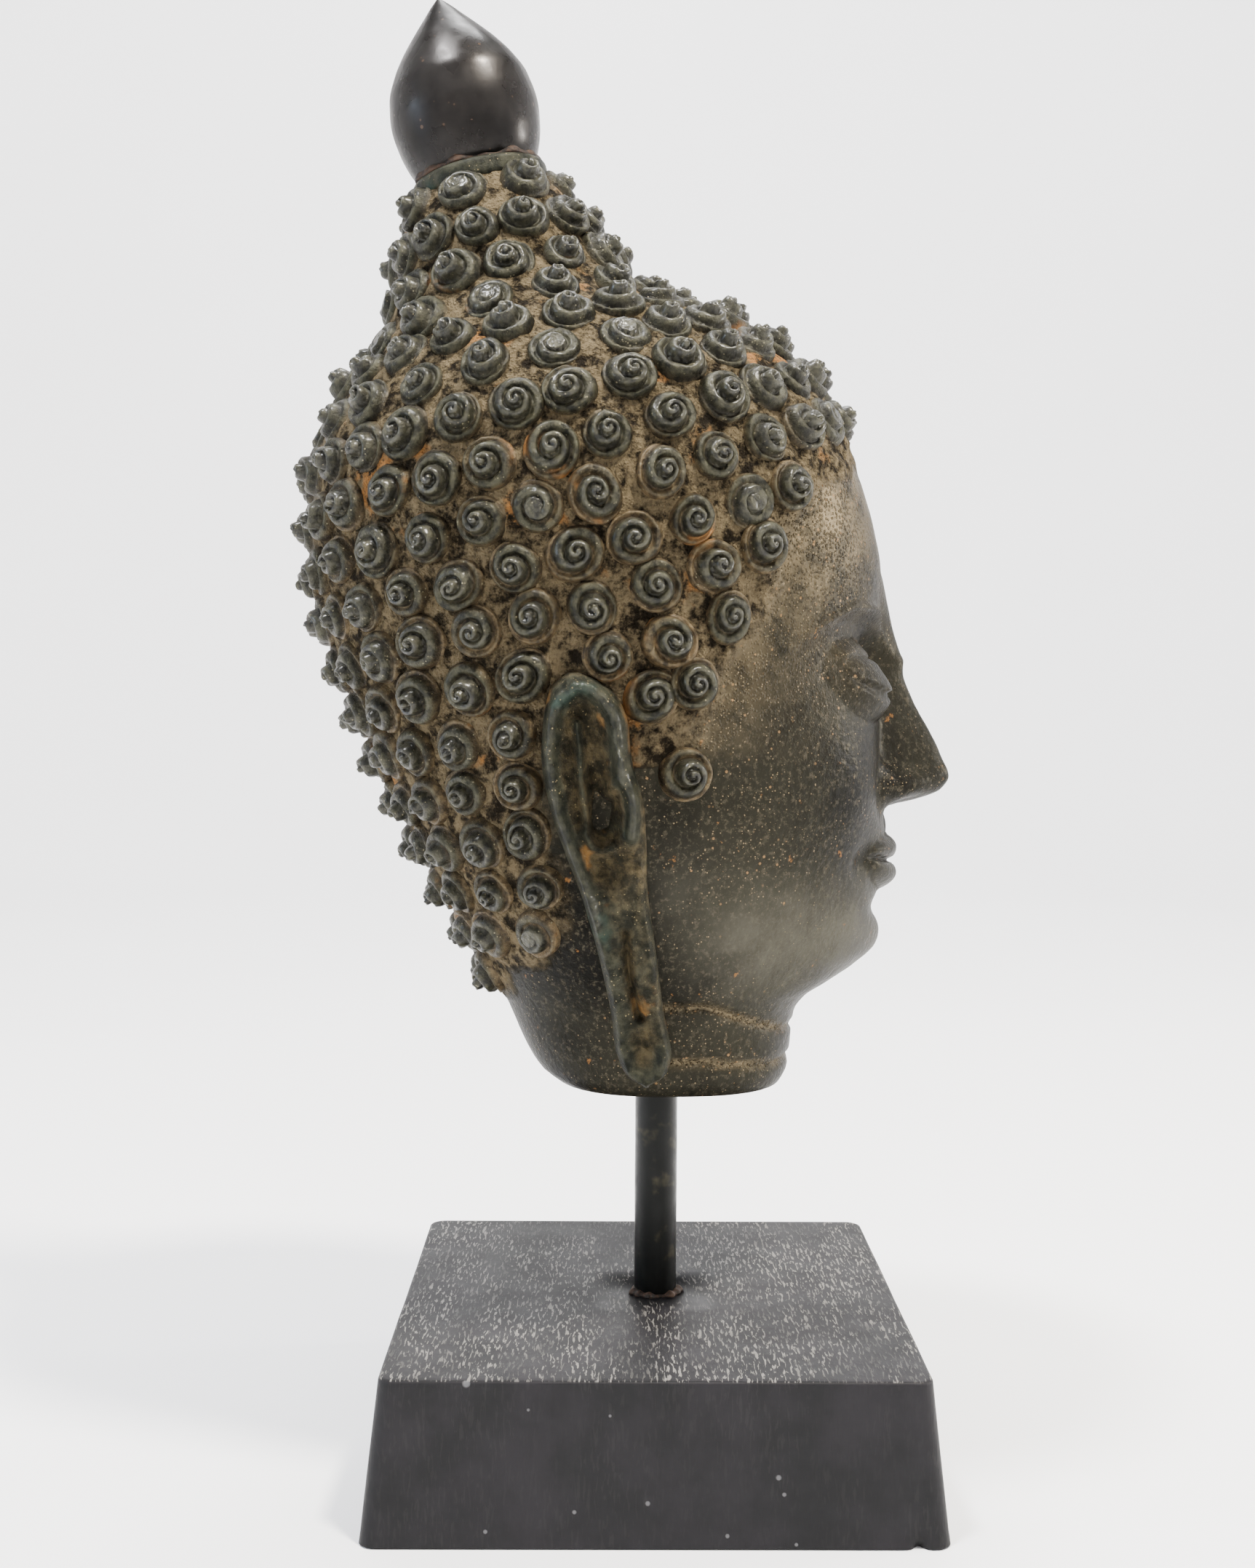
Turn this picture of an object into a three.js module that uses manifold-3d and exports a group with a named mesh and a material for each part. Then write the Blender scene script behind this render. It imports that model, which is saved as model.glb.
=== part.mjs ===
// A bronze head with snail curls and a bud finial, carried by a steel rod on a wooden block.
// Millimetres, +Z up, the face looks along -Y, the origin is the centre of the block's underside.
import * as THREE from 'three';
import { mergeVertices } from 'three/addons/utils/BufferGeometryUtils.js';
import { ConvexHull } from 'three/addons/math/ConvexHull.js';
import Module from 'manifold-3d';

const wasm = await Module();
wasm.setup();

// Block
const BASE_TOP_WIDTH = 150;
const BASE_FOOT_WIDTH = 159.3;
const BASE_HEIGHT = 43.9;
const BASE_CORNER_RADIUS = 4.5;
const BASE_EDGE_BEVEL = 0.9;
const CHIP_WIDTH = 4.6;
const CHIP_HEIGHT = 2.7;
const CHIP_FROM_CORNER = 9;

// Rod
const ROD_DIAMETER = 13;
const ROD_BARE_LENGTH = 69.6;
const ROD_FORWARD = 1.5;
const ROD_IN_BASE = 30;
const ROD_IN_HEAD = 60;
const CLEARANCE = 0.3;

// Head, from the flat cut of the neck to the crown of the skull
const HEAD_HEIGHT = 232.5;
const USHNISHA_TILT = 13;
const EAR_RELIEF = 8;

// Curls
const CURL_RADIUS = 7.4;
const CURL_HEIGHT = 7.4;
const ROW_PITCH = 14.2;
const CURL_PITCH = 16.6;

// Collar and finial
const COLLAR_RADIUS = 20.6;
const COLLAR_HEIGHT = 6;
const SEAT_DEPTH = 2;
const FINIAL_HEIGHT = 53.3;
const FINIAL_RADIUS = 22.4;
const FINIAL_FOOT_RADIUS = 17.2;

// The head's free form is set out in hundredths of its height, from the rod's axis and the neck cut
const UNIT = HEAD_HEIGHT / 100;
const CENTRE = new THREE.Vector3(0, 9.7, 54.8);
const TILT = THREE.MathUtils.degToRad(USHNISHA_TILT);
const AXIS = new THREE.Vector3(0, Math.sin(TILT), Math.cos(TILT));
const USHNISHA_TOP = 63.2;
const RAY_LIMIT = 75;

// A smooth curve through stations of [place, value], which never overshoots them
function curveThrough(stations) {
  const last = stations.length - 1;
  const steps = [];
  for (let i = 0; i < last; i += 1) {
    steps.push((stations[i + 1][1] - stations[i][1]) / (stations[i + 1][0] - stations[i][0]));
  }
  const slopes = [steps[0]];
  for (let i = 1; i < last; i += 1) {
    const product = steps[i - 1] * steps[i];
    slopes.push(product <= 0 ? 0 : (2 * product) / (steps[i - 1] + steps[i]));
  }
  slopes.push(steps[last - 1]);
  return (place) => {
    if (place <= stations[0][0]) return stations[0][1];
    if (place >= stations[last][0]) return stations[last][1];
    let i = 0;
    while (place > stations[i + 1][0]) i += 1;
    const width = stations[i + 1][0] - stations[i][0];
    const t = (place - stations[i][0]) / width;
    const bend = t * t * (3 - 2 * t);
    const swing = width * t * (1 - t);
    return stations[i][1] * (1 - bend) + stations[i + 1][1] * bend
      + swing * (slopes[i] * (1 - t) - slopes[i + 1] * t);
  };
}

// Level sections of the neck, face and skull: foremost, rearmost and side reach at each level
const frontReach = curveThrough([[0, -16.1], [1.5, -16.9], [5.4, -17.4], [8.8, -17.9], [11, -19.6],
  [12.7, -22.4], [14.4, -24.7], [17, -26.5], [20.9, -27.1], [28.2, -28], [35.5, -28.6], [43.7, -28.6],
  [57.4, -28.2], [63.9, -28], [71.6, -26.9], [79.4, -24.7], [85.4, -21.9], [92.3, -15.5], [96, -10.3],
  [98.3, -3.7], [100, 6]]);
const backReach = curveThrough([[0, 13.5], [1.5, 15.5], [4.5, 17.4], [9.7, 19.8], [15.1, 22.8],
  [30.5, 31.2], [43.7, 37.2], [57, 42.6], [70.8, 44.7], [78.1, 44.3], [84.9, 41.5], [91.4, 36.8],
  [95.3, 32.3], [97.8, 27.1], [100, 19.4]]);
const sideReach = curveThrough([[0, 17.6], [1.5, 18.7], [4.5, 19.5], [9.7, 20.6], [13.5, 22.2],
  [20, 24.9], [28, 26.9], [35.5, 28.2], [52.7, 29.3], [73.8, 30.1], [80, 29.5], [85.4, 27.9],
  [89.7, 25.5], [93.5, 21.9], [96.6, 18.1], [100, 7.7]]);
const widestPlace = curveThrough([[0, 0], [9.7, 0.4], [20, 2.6], [35, 5.2], [52.7, 8.6], [73.8, 12],
  [100, 14]]);
const frontSquareness = curveThrough([[0, 2.7], [9.7, 2.3], [15, 1.95], [35, 1.95], [60, 2.05],
  [79, 2.2], [100, 2]]);
const backSquareness = curveThrough([[0, 2.4], [15, 2.1], [52, 2.15], [100, 2]]);

// The cranial bump is turned about its own tilted axis: radius at each distance below its top
const ushnishaRadius = curveThrough([[1.3, 7.7], [4.7, 9.9], [7.3, 11.2], [11.2, 12.9], [15, 14.4],
  [18.5, 16.3], [24, 18.2]]);
const FILLET = 4.5;

function insideSkull(point) {
  if (point.z > 100) return false;
  const middle = widestPlace(point.z);
  const ahead = point.y < middle;
  const depth = ahead ? middle - frontReach(point.z) : backReach(point.z) - middle;
  const power = ahead ? frontSquareness(point.z) : backSquareness(point.z);
  const across = Math.abs(point.x) / sideReach(point.z);
  const along = Math.abs(point.y - middle) / depth;
  return across ** power + along ** power < 1;
}

function insideUshnisha(point) {
  const fromCentre = point.clone().sub(CENTRE);
  const height = fromCentre.dot(AXIS);
  const below = USHNISHA_TOP - height;
  const radius = Math.sqrt(Math.max(0, fromCentre.lengthSq() - height * height));
  return below > 1.3 && radius < ushnishaRadius(below);
}

// How far a ray from the head's centre runs inside a form
function rayReach(direction, isInside) {
  let near = 0;
  let far = RAY_LIMIT;
  for (let step = 0; step < 30; step += 1) {
    const middle = (near + far) / 2;
    const point = CENTRE.clone().addScaledVector(direction, middle);
    if (isInside(point)) near = middle;
    else far = middle;
  }
  return near;
}

// The bare skin in one direction from the head's centre, in hundredths
function skinPoint(direction) {
  let reach = rayReach(direction, insideSkull);
  if (direction.dot(AXIS) > 0.8) {
    const bump = rayReach(direction, insideUshnisha);
    const blend = Math.max(FILLET - Math.abs(bump - reach), 0) / FILLET;
    reach = Math.max(bump, reach) + (blend * blend * FILLET) / 4;
  }
  if (direction.z < 0) reach = Math.min(reach, CENTRE.z / -direction.z);
  return CENTRE.clone().addScaledVector(direction, reach);
}

function directionOf(point) {
  return point.clone().sub(CENTRE).normalize();
}

// Direction at a polar angle from the tilted axis and a turn from the front
function polarDirection(polar, turn) {
  const forward = new THREE.Vector3(0, -Math.cos(TILT), Math.sin(TILT));
  const sideways = new THREE.Vector3(-1, 0, 0);
  return AXIS.clone().multiplyScalar(Math.cos(polar))
    .addScaledVector(forward, Math.sin(polar) * Math.cos(turn))
    .addScaledVector(sideways, Math.sin(polar) * Math.sin(turn));
}

// The hair's edge: the curls stay behind this line at each level
const hairEdge = curveThrough([[9.6, 40], [10.4, 19.4], [14, 18.3], [17, 14], [20.4, 12.3], [25.6, 11.8],
  [32.5, 13.1], [38.5, 14], [40.6, 14.4], [41.2, -1], [43, -3.4], [46.7, -4.3], [53.5, -7.7], [60, -11.2],
  [65.2, -13.7], [71.2, -16], [74.2, -18.5], [76.3, -23], [79.4, -26.5], [79.8, -90]]);

// Ear: its middle line, half width and stand-off from the head at each level
const EAR_FOOT = 2.1;
const EAR_CROWN = 51.8;
const earMiddle = curveThrough([[EAR_FOOT, 1.8], [4.8, 1.95], [8.4, 2.5], [14.5, 3.5], [20.5, 4.6],
  [25.5, 5.7], [31, 6.85], [36.7, 8], [42.5, 9.15], [46.4, 9.25], [49.4, 9.7], [EAR_CROWN, 10.6]]);
const earHalfWidth = curveThrough([[EAR_FOOT, 0.6], [2.9, 2.1], [4.8, 3.1], [6.6, 3.42], [11, 3.2],
  [17.4, 3.4], [25.5, 3.9], [31, 4.8], [36.7, 5.5], [42.5, 5.2], [46.4, 4.85], [49.4, 3.8], [50.7, 2.6],
  [EAR_CROWN, 0.6]]);
const earStandOff = curveThrough([[EAR_FOOT, 1.6], [9, 1.4], [20, 0.9], [30, 0.6], [EAR_CROWN, 0.7]]);

function insideEar(point, margin) {
  if (point.z < EAR_FOOT - margin || point.z > EAR_CROWN + margin) return false;
  return Math.abs(point.y - earMiddle(point.z)) < earHalfWidth(point.z) + margin;
}

function isHair(point) {
  if (point.z < 9.6) return false;
  return point.y > hairEdge(point.z) && !insideEar(point, 0.5);
}

// The same small scatter for each curl every time
function scatter(index, salt) {
  const wave = Math.sin(index * 12.9898 + salt * 78.233) * 43758.5453;
  return (wave - Math.floor(wave)) * 2 - 1;
}

// Rows of curls, each a level line of distance from the collar measured down the skin
const MERIDIANS = 120;
const POLAR_STEPS = 110;
const POLAR_START = 0.115;
const POLAR_END = 2.95;

function meridianTable() {
  const table = [];
  for (let m = 0; m < MERIDIANS; m += 1) {
    const turn = (2 * Math.PI * m) / MERIDIANS;
    const places = [];
    let length = 0;
    for (let p = 0; p <= POLAR_STEPS; p += 1) {
      const polar = POLAR_START + ((POLAR_END - POLAR_START) * p) / POLAR_STEPS;
      const point = skinPoint(polarDirection(polar, turn));
      if (p > 0) length += point.distanceTo(places[p - 1].point);
      places.push({ point, length });
    }
    table.push(places);
  }
  return table;
}

// One row: the skin points at a set distance down every meridian
function rowPoints(table, distance) {
  return table.map((places) => {
    let p = 1;
    while (p < POLAR_STEPS && places[p].length < distance) p += 1;
    const span = places[p].length - places[p - 1].length;
    const share = Math.min(1, (distance - places[p - 1].length) / span);
    return places[p - 1].point.clone().lerp(places[p].point, share);
  });
}

// A closed row cut into even short steps
function evenSteps(points, step) {
  const steps = [];
  for (let i = 0; i < points.length; i += 1) {
    const next = points[(i + 1) % points.length];
    const count = Math.max(1, Math.round(points[i].distanceTo(next) / step));
    for (let j = 0; j < count; j += 1) steps.push(points[i].clone().lerp(next, j / count));
  }
  return steps;
}

function skinNormal(point) {
  const direction = directionOf(point);
  const side = new THREE.Vector3(0, 0, 1).cross(direction).normalize();
  const rise = direction.clone().cross(side);
  const nudge = 0.02;
  const east = skinPoint(direction.clone().addScaledVector(side, nudge).normalize());
  const west = skinPoint(direction.clone().addScaledVector(side, -nudge).normalize());
  const up = skinPoint(direction.clone().addScaledVector(rise, nudge).normalize());
  const down = skinPoint(direction.clone().addScaledVector(rise, -nudge).normalize());
  return east.sub(west).cross(up.sub(down)).normalize();
}

// A curl fits where its whole foot lies on hair
function curlFits(point, radius) {
  const normal = directionOf(point);
  const side = new THREE.Vector3(0, 0, 1).cross(normal).normalize();
  const rise = normal.clone().cross(side);
  for (let corner = 0; corner < 8; corner += 1) {
    const turn = (Math.PI * corner) / 4;
    const edge = point.clone().addScaledVector(side, radius * Math.cos(turn))
      .addScaledVector(rise, radius * Math.sin(turn));
    if (!isHair(edge)) return false;
  }
  return true;
}

// Stretches of a row on which curls fit, as lists of steps; a row that is all hair is one closed stretch
function hairStretches(steps, radius) {
  const fits = steps.map((point) => curlFits(point, radius));
  const firstGap = fits.indexOf(false);
  if (firstGap < 0) return [{ closed: true, places: steps }];
  const stretches = [];
  let places = [];
  for (let i = 1; i <= steps.length; i += 1) {
    const at = (firstGap + i) % steps.length;
    if (fits[at]) places.push(steps[at]);
    else if (places.length > 0) {
      stretches.push({ closed: false, places });
      places = [];
    }
  }
  return stretches;
}

function curlCentres() {
  const radius = (CURL_RADIUS * 0.9) / UNIT;
  const pitch = CURL_PITCH / UNIT;
  const step = 0.4;
  const table = meridianTable();
  const longest = Math.max(...table.map((places) => places[POLAR_STEPS].length));
  const centres = [];
  let row = 0;
  for (let distance = radius * 1.25; distance < longest; distance += ROW_PITCH / UNIT) {
    const steps = evenSteps(rowPoints(table, distance), step);
    for (const { closed, places } of hairStretches(steps, radius)) {
      const length = places.length * step;
      const count = closed ? Math.round(length / pitch) : Math.max(1, Math.round(length / pitch) + 1);
      for (let i = 0; i < count; i += 1) {
        let share = closed ? (i + (row % 2) / 2) / count : i / Math.max(1, count - 1);
        if (!closed && count === 1) share = 0.5;
        const at = Math.min(places.length - 1, Math.floor(share * places.length));
        if (centres.every((other) => other.distanceTo(places[at]) > radius * 1.7)) centres.push(places[at]);
      }
    }
    row += 1;
  }
  return centres;
}

// A ring of points on the skin round a curl's centre
function skinRing(centre, reach, corners, start) {
  const axis = skinNormal(centre);
  const side = new THREE.Vector3(0, 0, 1).cross(axis).normalize();
  const rise = axis.clone().cross(side);
  return Array.from({ length: corners }, (_, corner) => {
    const turn = start + (2 * Math.PI * corner) / corners;
    const spot = centre.clone().addScaledVector(side, reach * Math.cos(turn))
      .addScaledVector(rise, reach * Math.sin(turn));
    return skinPoint(directionOf(spot));
  });
}

// Valleys between the curls: midway to each neighbour, between each three, and round the outer ones
const NEIGHBOUR_REACH = CURL_PITCH * 1.4;
const FOOT_CORNERS = 6;
const FOOT_SPREAD = 1.12;

function valleyVertices(centres) {
  const radius = CURL_RADIUS / UNIT;
  const places = [];
  const take = (spot, spacing) => {
    const place = skinPoint(directionOf(spot));
    if (insideEar(place, 0.4) || places.some((other) => other.distanceTo(place) < spacing)) return;
    if (centres.every((centre) => centre.distanceTo(place) > radius * 0.95)) places.push(place);
  };
  const order = new Map(centres.map((centre) => [directionOf(centre), centre]));
  for (const face of new ConvexHull().setFromPoints([...order.keys()]).faces) {
    const corners = [face.edge, face.edge.next, face.edge.prev].map((edge) => order.get(edge.head().point));
    const joined = corners.map((corner, i) => [corner, corners[(i + 1) % 3]])
      .filter(([from, to]) => from.distanceTo(to) < NEIGHBOUR_REACH / UNIT);
    for (const [from, to] of joined) take(from.clone().lerp(to, 0.5), radius * 0.3);
    const middle = corners[0].clone().add(corners[1]).add(corners[2]).divideScalar(3);
    if (joined.length === 3) take(middle, radius * 0.3);
  }
  for (const centre of centres) {
    for (const spot of skinRing(centre, radius * FOOT_SPREAD, FOOT_CORNERS, 0)) take(spot, radius * 0.7);
  }
  return places.map((place) => ({ direction: directionOf(place), place }));
}

// One curl on the skin: a shoulder ring, its back rising a little as it winds, and the tip
const SHOULDER_CORNERS = 6;
const SHOULDER_SPREAD = 0.72;

function curlVertices(centre, index) {
  const size = 1 + 0.05 * scatter(index, 1);
  const height = (CURL_HEIGHT * size) / UNIT;
  const axis = skinNormal(centre);
  const lifted = (place, share) => {
    const direction = directionOf(place);
    return { direction, place: place.clone().addScaledVector(axis, height * share) };
  };
  const reach = (CURL_RADIUS * SHOULDER_SPREAD * size) / UNIT;
  const ring = skinRing(centre, reach, SHOULDER_CORNERS, Math.PI * scatter(index, 2));
  const shoulders = ring.map((place, corner) => lifted(place, 0.6 + (0.1 * corner) / SHOULDER_CORNERS));
  return [...shoulders, lifted(centre, 1)];
}

// Levels of the face by thirds: chin, foot of the nose, brow, hairline
const CHIN = 13.5;
const THIRD = 21.95;
const NOSE_FOOT = CHIN + THIRD;
const BROW = NOSE_FOOT + THIRD;
const MOUTH = NOSE_FOOT - THIRD / 3;
const EYE_LEVEL = BROW - THIRD / 4;
const EYE_WIDTH = 11.2;
const MOUTH_HALF_WIDTH = 10.2;

function bell(value, middle, width) {
  return Math.exp(-(((value - middle) / width) ** 2));
}

function mound(across, level, place) {
  return place.rise * bell(across, place.across, place.wide) * bell(level, place.level, place.tall);
}

// Soft masses of the face: cheeks, chin, mouth mound, eye corners and wings of the nose
const FACE_MASSES = [
  { rise: 1.7, across: 16, level: 39, wide: 8, tall: 8.5 },
  { rise: 2, across: 0, level: CHIN + 4.2, wide: 6, tall: 4 },
  { rise: 0.9, across: 9, level: CHIN + 6, wide: 7, tall: 5 },
  { rise: -1.1, across: 0, level: MOUTH - 6, wide: 5.6, tall: 1.5 },
  { rise: 1.7, across: 0, level: MOUTH, wide: 9.5, tall: 6.5 },
  { rise: 0.8, across: 0, level: BROW + 9, wide: 14, tall: 9 },
  { rise: -2.1, across: 5.4, level: EYE_LEVEL + 1.6, wide: 2.7, tall: 3.2 },
  { rise: 2.6, across: 5.3, level: NOSE_FOOT + 2.6, wide: 2.1, tall: 2.3 },
  { rise: -0.5, across: 0, level: NOSE_FOOT - 2.4, wide: 1.1, tall: 1.8 },
];
const noseRise = curveThrough([[NOSE_FOOT - 1.3, 0], [NOSE_FOOT - 0.4, 1.2], [NOSE_FOOT + 0.5, 5],
  [NOSE_FOOT + 1.8, 8.3], [NOSE_FOOT + 3.6, 9.5], [NOSE_FOOT + 6, 8.6], [NOSE_FOOT + 10, 6.9],
  [NOSE_FOOT + 15, 4.8], [BROW - 3, 3.4], [BROW + 1, 2], [BROW + 8, 0]]);
const noseWidth = curveThrough([[NOSE_FOOT - 1, 6.2], [NOSE_FOOT + 2, 6.4], [NOSE_FOOT + 6, 5.2],
  [NOSE_FOOT + 15, 3.9], [BROW - 2, 4.2], [BROW + 6, 7]]);
const browLine = curveThrough([[1.6, BROW - 3.4], [3.4, BROW - 0.6], [6, BROW + 1.2], [10, BROW + 2.7],
  [14, BROW + 2.8], [18, BROW + 1.4], [23, BROW - 2.4]]);

// Socket under the brow, the eyeball, and the upper lid's edge over the lowered slit
function eyeRelief(across, level) {
  const { smoothstep } = THREE.MathUtils;
  const below = browLine(across) - level;
  const fade = 1 - smoothstep(below, 5.5, 11);
  const socket = -1.9 * smoothstep(below, -0.25, 2.4) * fade * bell(across, 10.5, 9.5);
  const lens = Math.sqrt(Math.max(0, 1 - ((across - EYE_WIDTH) / (EYE_WIDTH / 2 + 0.3)) ** 2));
  const middle = EYE_LEVEL - 0.6 + 0.12 * (across - EYE_WIDTH);
  const ball = 1 - ((across - EYE_WIDTH) / 7.4) ** 2 - ((level - middle) / 5.2) ** 2;
  const lid = level > middle - 1.3 * lens && level < middle + 3 ? 0.65 * lens : 0;
  return socket + 2.2 * Math.max(0, ball) ** 0.7 + lid;
}

function lipRelief(across, level) {
  const reach = across / MOUTH_HALF_WIDTH;
  if (reach >= 1) return 0;
  const full = Math.sqrt(1 - reach * reach);
  const parting = MOUTH + 1.1 * reach ** 2.5;
  const upper = level > parting;
  const share = Math.abs(level - parting) / ((upper ? 3.2 : 4) * full ** 0.8);
  if (share >= 1) return 0;
  return (upper ? 2.7 : 3.3) * full ** 0.6 * Math.sqrt(share) * (1 - share ** 2.4);
}

// How far the face stands forward of the plain sections
function faceRelief(point) {
  const across = Math.abs(point.x);
  let relief = 0;
  for (const place of FACE_MASSES) relief += mound(across, point.z, place);
  const share = across / noseWidth(point.z);
  if (share < 1) relief += noseRise(point.z) * (1 - share * share) ** 1.7;
  relief += 0.8 * bell(point.z, browLine(across) + 0.2, 0.7) * bell(across, 11, 9);
  relief += eyeRelief(across, point.z) + lipRelief(across, point.z);
  return relief * THREE.MathUtils.smoothstep(-point.y, 5, 13);
}

// A point of a level section at a turn from the front
function sectionPoint(level, turn) {
  const middle = widestPlace(level);
  const ahead = Math.cos(turn) > 0;
  const depth = ahead ? middle - frontReach(level) : backReach(level) - middle;
  const power = 2 / (ahead ? frontSquareness(level) : backSquareness(level));
  const x = sideReach(level) * Math.sign(Math.sin(turn)) * Math.abs(Math.sin(turn)) ** power;
  const y = middle - depth * Math.sign(Math.cos(turn)) * Math.abs(Math.cos(turn)) ** power;
  return new THREE.Vector3(x, y, level);
}

// Lines along which the face's forms break, as rows of [across, level]
function featureLines() {
  const spread = (count, from, to) => Array.from({ length: count },
    (_, i) => from + ((to - from) * i) / (count - 1));
  const lines = [];
  for (const x of spread(7, 3, 21)) lines.push([x, browLine(x)], [x, browLine(x) - 1.6]);
  for (const x of spread(6, EYE_WIDTH - 5.4, EYE_WIDTH + 5.4)) {
    const lens = Math.max(0, 1 - ((x - EYE_WIDTH) / 5.6) ** 2);
    lines.push([x, EYE_LEVEL - 1.6], [x, EYE_LEVEL - 2.1 - 1.3 * lens], [x, EYE_LEVEL + 3.6 * lens]);
  }
  for (const x of spread(6, 0, MOUTH_HALF_WIDTH)) {
    const reach = x / MOUTH_HALF_WIDTH;
    const full = Math.sqrt(Math.max(0, 1 - reach * reach));
    const parting = MOUTH + 0.6 * reach * reach;
    lines.push([x, parting], [x, parting + 1.8 * full], [x, parting + 3.3 * full]);
    lines.push([x, parting - 2.1 * full], [x, parting - 4 * full]);
  }
  for (const level of spread(9, NOSE_FOOT - 1.3, BROW)) {
    lines.push([0, level], [noseWidth(level) * 0.45, level], [noseWidth(level) * 0.95, level]);
  }
  lines.push([0, NOSE_FOOT + 0.6], [3.4, NOSE_FOOT + 0.2], [6.4, NOSE_FOOT + 0.4], [0, NOSE_FOOT + 3.2]);
  lines.push([5.2, NOSE_FOOT + 1.2], [7.6, NOSE_FOOT + 2.4], [5.6, NOSE_FOOT + 3], [5, NOSE_FOOT + 5]);
  return lines;
}

// The skin point at a place across the face
function facePoint(across, level) {
  const share = Math.min(1, across / sideReach(level));
  const power = frontSquareness(level);
  const middle = widestPlace(level);
  const y = middle - (middle - frontReach(level)) * (1 - share ** power) ** (1 / power);
  return new THREE.Vector3(across, y, level);
}

// Bare skin of face and neck: feature lines first, then an even fill between them
const FINE_SPACING = 2.8;
const PLAIN_SPACING = 5.8;

function bareSkinVertices(curls) {
  const taken = curls.map((vertex) => vertex.place);
  const vertices = [];
  const take = (point, spacing) => {
    if (point.x > 0 && point.x < spacing * 0.45) return;
    if (taken.some((other) => other.distanceTo(point) < spacing)) return;
    for (const side of point.x > 0 ? [1, -1] : [1]) {
      const place = new THREE.Vector3(point.x * side, point.y, point.z);
      taken.push(place);
      const direction = directionOf(place);
      const forward = new THREE.Vector3(0, -faceRelief(place), 0);
      vertices.push({ direction, place: place.clone().add(forward) });
    }
  };
  for (const [across, level] of featureLines()) take(facePoint(across, level), 0.7);
  for (let turn = 0; turn <= 24; turn += 1) take(sectionPoint(0, (Math.PI * turn) / 24), 0.5);
  for (let level = 1.5; level < 80; level += 1.7) {
    for (let turn = 0; turn <= 60; turn += 1) {
      const point = sectionPoint(level, (Math.PI * turn) / 60);
      const fine = point.y < -12 && level > CHIN && level < BROW + 6;
      if (!isHair(point) && !insideEar(point, 0.9)) take(point, fine ? FINE_SPACING : PLAIN_SPACING);
    }
  }
  return vertices;
}

// A closed mesh from vertices seen from the head's centre, each joined to its neighbours
function shellGeometry(vertices) {
  const hull = new ConvexHull().setFromPoints(vertices.map((vertex) => vertex.direction));
  const order = new Map(vertices.map((vertex, i) => [vertex.direction, i]));
  const index = [];
  for (const face of hull.faces) {
    let edge = face.edge;
    do {
      index.push(order.get(edge.head().point));
      edge = edge.next;
    } while (edge !== face.edge);
  }
  const places = vertices.flatMap((vertex) => vertex.place.clone().multiplyScalar(UNIT).toArray());
  const geometry = new THREE.BufferGeometry();
  geometry.setAttribute('position', new THREE.Float32BufferAttribute(places, 3));
  geometry.setIndex(index);
  return geometry;
}

// A closed skin over a stack of rings with equal numbers of points
function ringStack(rings) {
  const count = rings[0].length;
  const points = rings.flat();
  const index = [];
  for (let r = 0; r + 1 < rings.length; r += 1) {
    for (let i = 0; i < count; i += 1) {
      const a = r * count + i;
      const b = r * count + ((i + 1) % count);
      index.push(a, b, b + count, a, b + count, a + count);
    }
  }
  for (const [start, flip] of [[0, true], [(rings.length - 1) * count, false]]) {
    const middle = new THREE.Vector3();
    for (let i = 0; i < count; i += 1) middle.addScaledVector(points[start + i], 1 / count);
    points.push(middle);
    const centre = points.length - 1;
    for (let i = 0; i < count; i += 1) {
      const a = start + i;
      const b = start + ((i + 1) % count);
      index.push(...(flip ? [centre, b, a] : [centre, a, b]));
    }
  }
  const geometry = new THREE.BufferGeometry();
  geometry.setAttribute('position', new THREE.Float32BufferAttribute(points.flatMap((p) => p.toArray()), 3));
  geometry.setIndex(index);
  return geometry;
}

// How far the ear's surface stands out, by place across it (front -1, back 1) and level
function earRelief(across, level) {
  const { smoothstep } = THREE.MathUtils;
  const frontRim = 0.95 * bell(across, -0.75, 0.3) * smoothstep(level, 39, 43);
  const rim = bell(across, 0.88, 0.2) + frontRim + bell(level, EAR_CROWN - 2.2, 1.7);
  const fold = 0.6 * bell(across, 0.16, 0.2) * bell(level, 36.5, 5.5);
  const hollow = 0.5 * bell(across, -0.2, 0.25) * bell(level, 36.5, 4.5);
  const tragus = 0.8 * bell(across, -0.72, 0.28) * bell(level, 35.3, 3.6);
  const shell = 0.25 + 0.75 * Math.min(1, rim) + fold - hollow + tragus;
  const slot = bell(across, 0, 0.25) * smoothstep(level, 9, 13) * (1 - smoothstep(level, 20, 23));
  const lobe = 0.85 - 0.5 * slot;
  const upper = smoothstep(level, 25, 30);
  return EAR_RELIEF * (upper * shell + (1 - upper) * lobe);
}

const EAR_ACROSS = [-1, -0.8, -0.5, -0.2, 0, 0.2, 0.5, 0.85, 1];
const EAR_LEVELS = [EAR_FOOT, 3.2, 5.4, 9.5, 13, 18, 22.5, 26.5, 30, 33, 36, 39, 42.5, 46, 48.6, 50.4,
  EAR_CROWN];

// The head's side at a place along it
function sideSkin(along, level) {
  const middle = widestPlace(level);
  const ahead = along < middle;
  const depth = ahead ? middle - frontReach(level) : backReach(level) - middle;
  const power = ahead ? frontSquareness(level) : backSquareness(level);
  const share = Math.min(1, Math.abs(along - middle) / depth);
  return sideReach(level) * (1 - share ** power) ** (1 / power);
}

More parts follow.
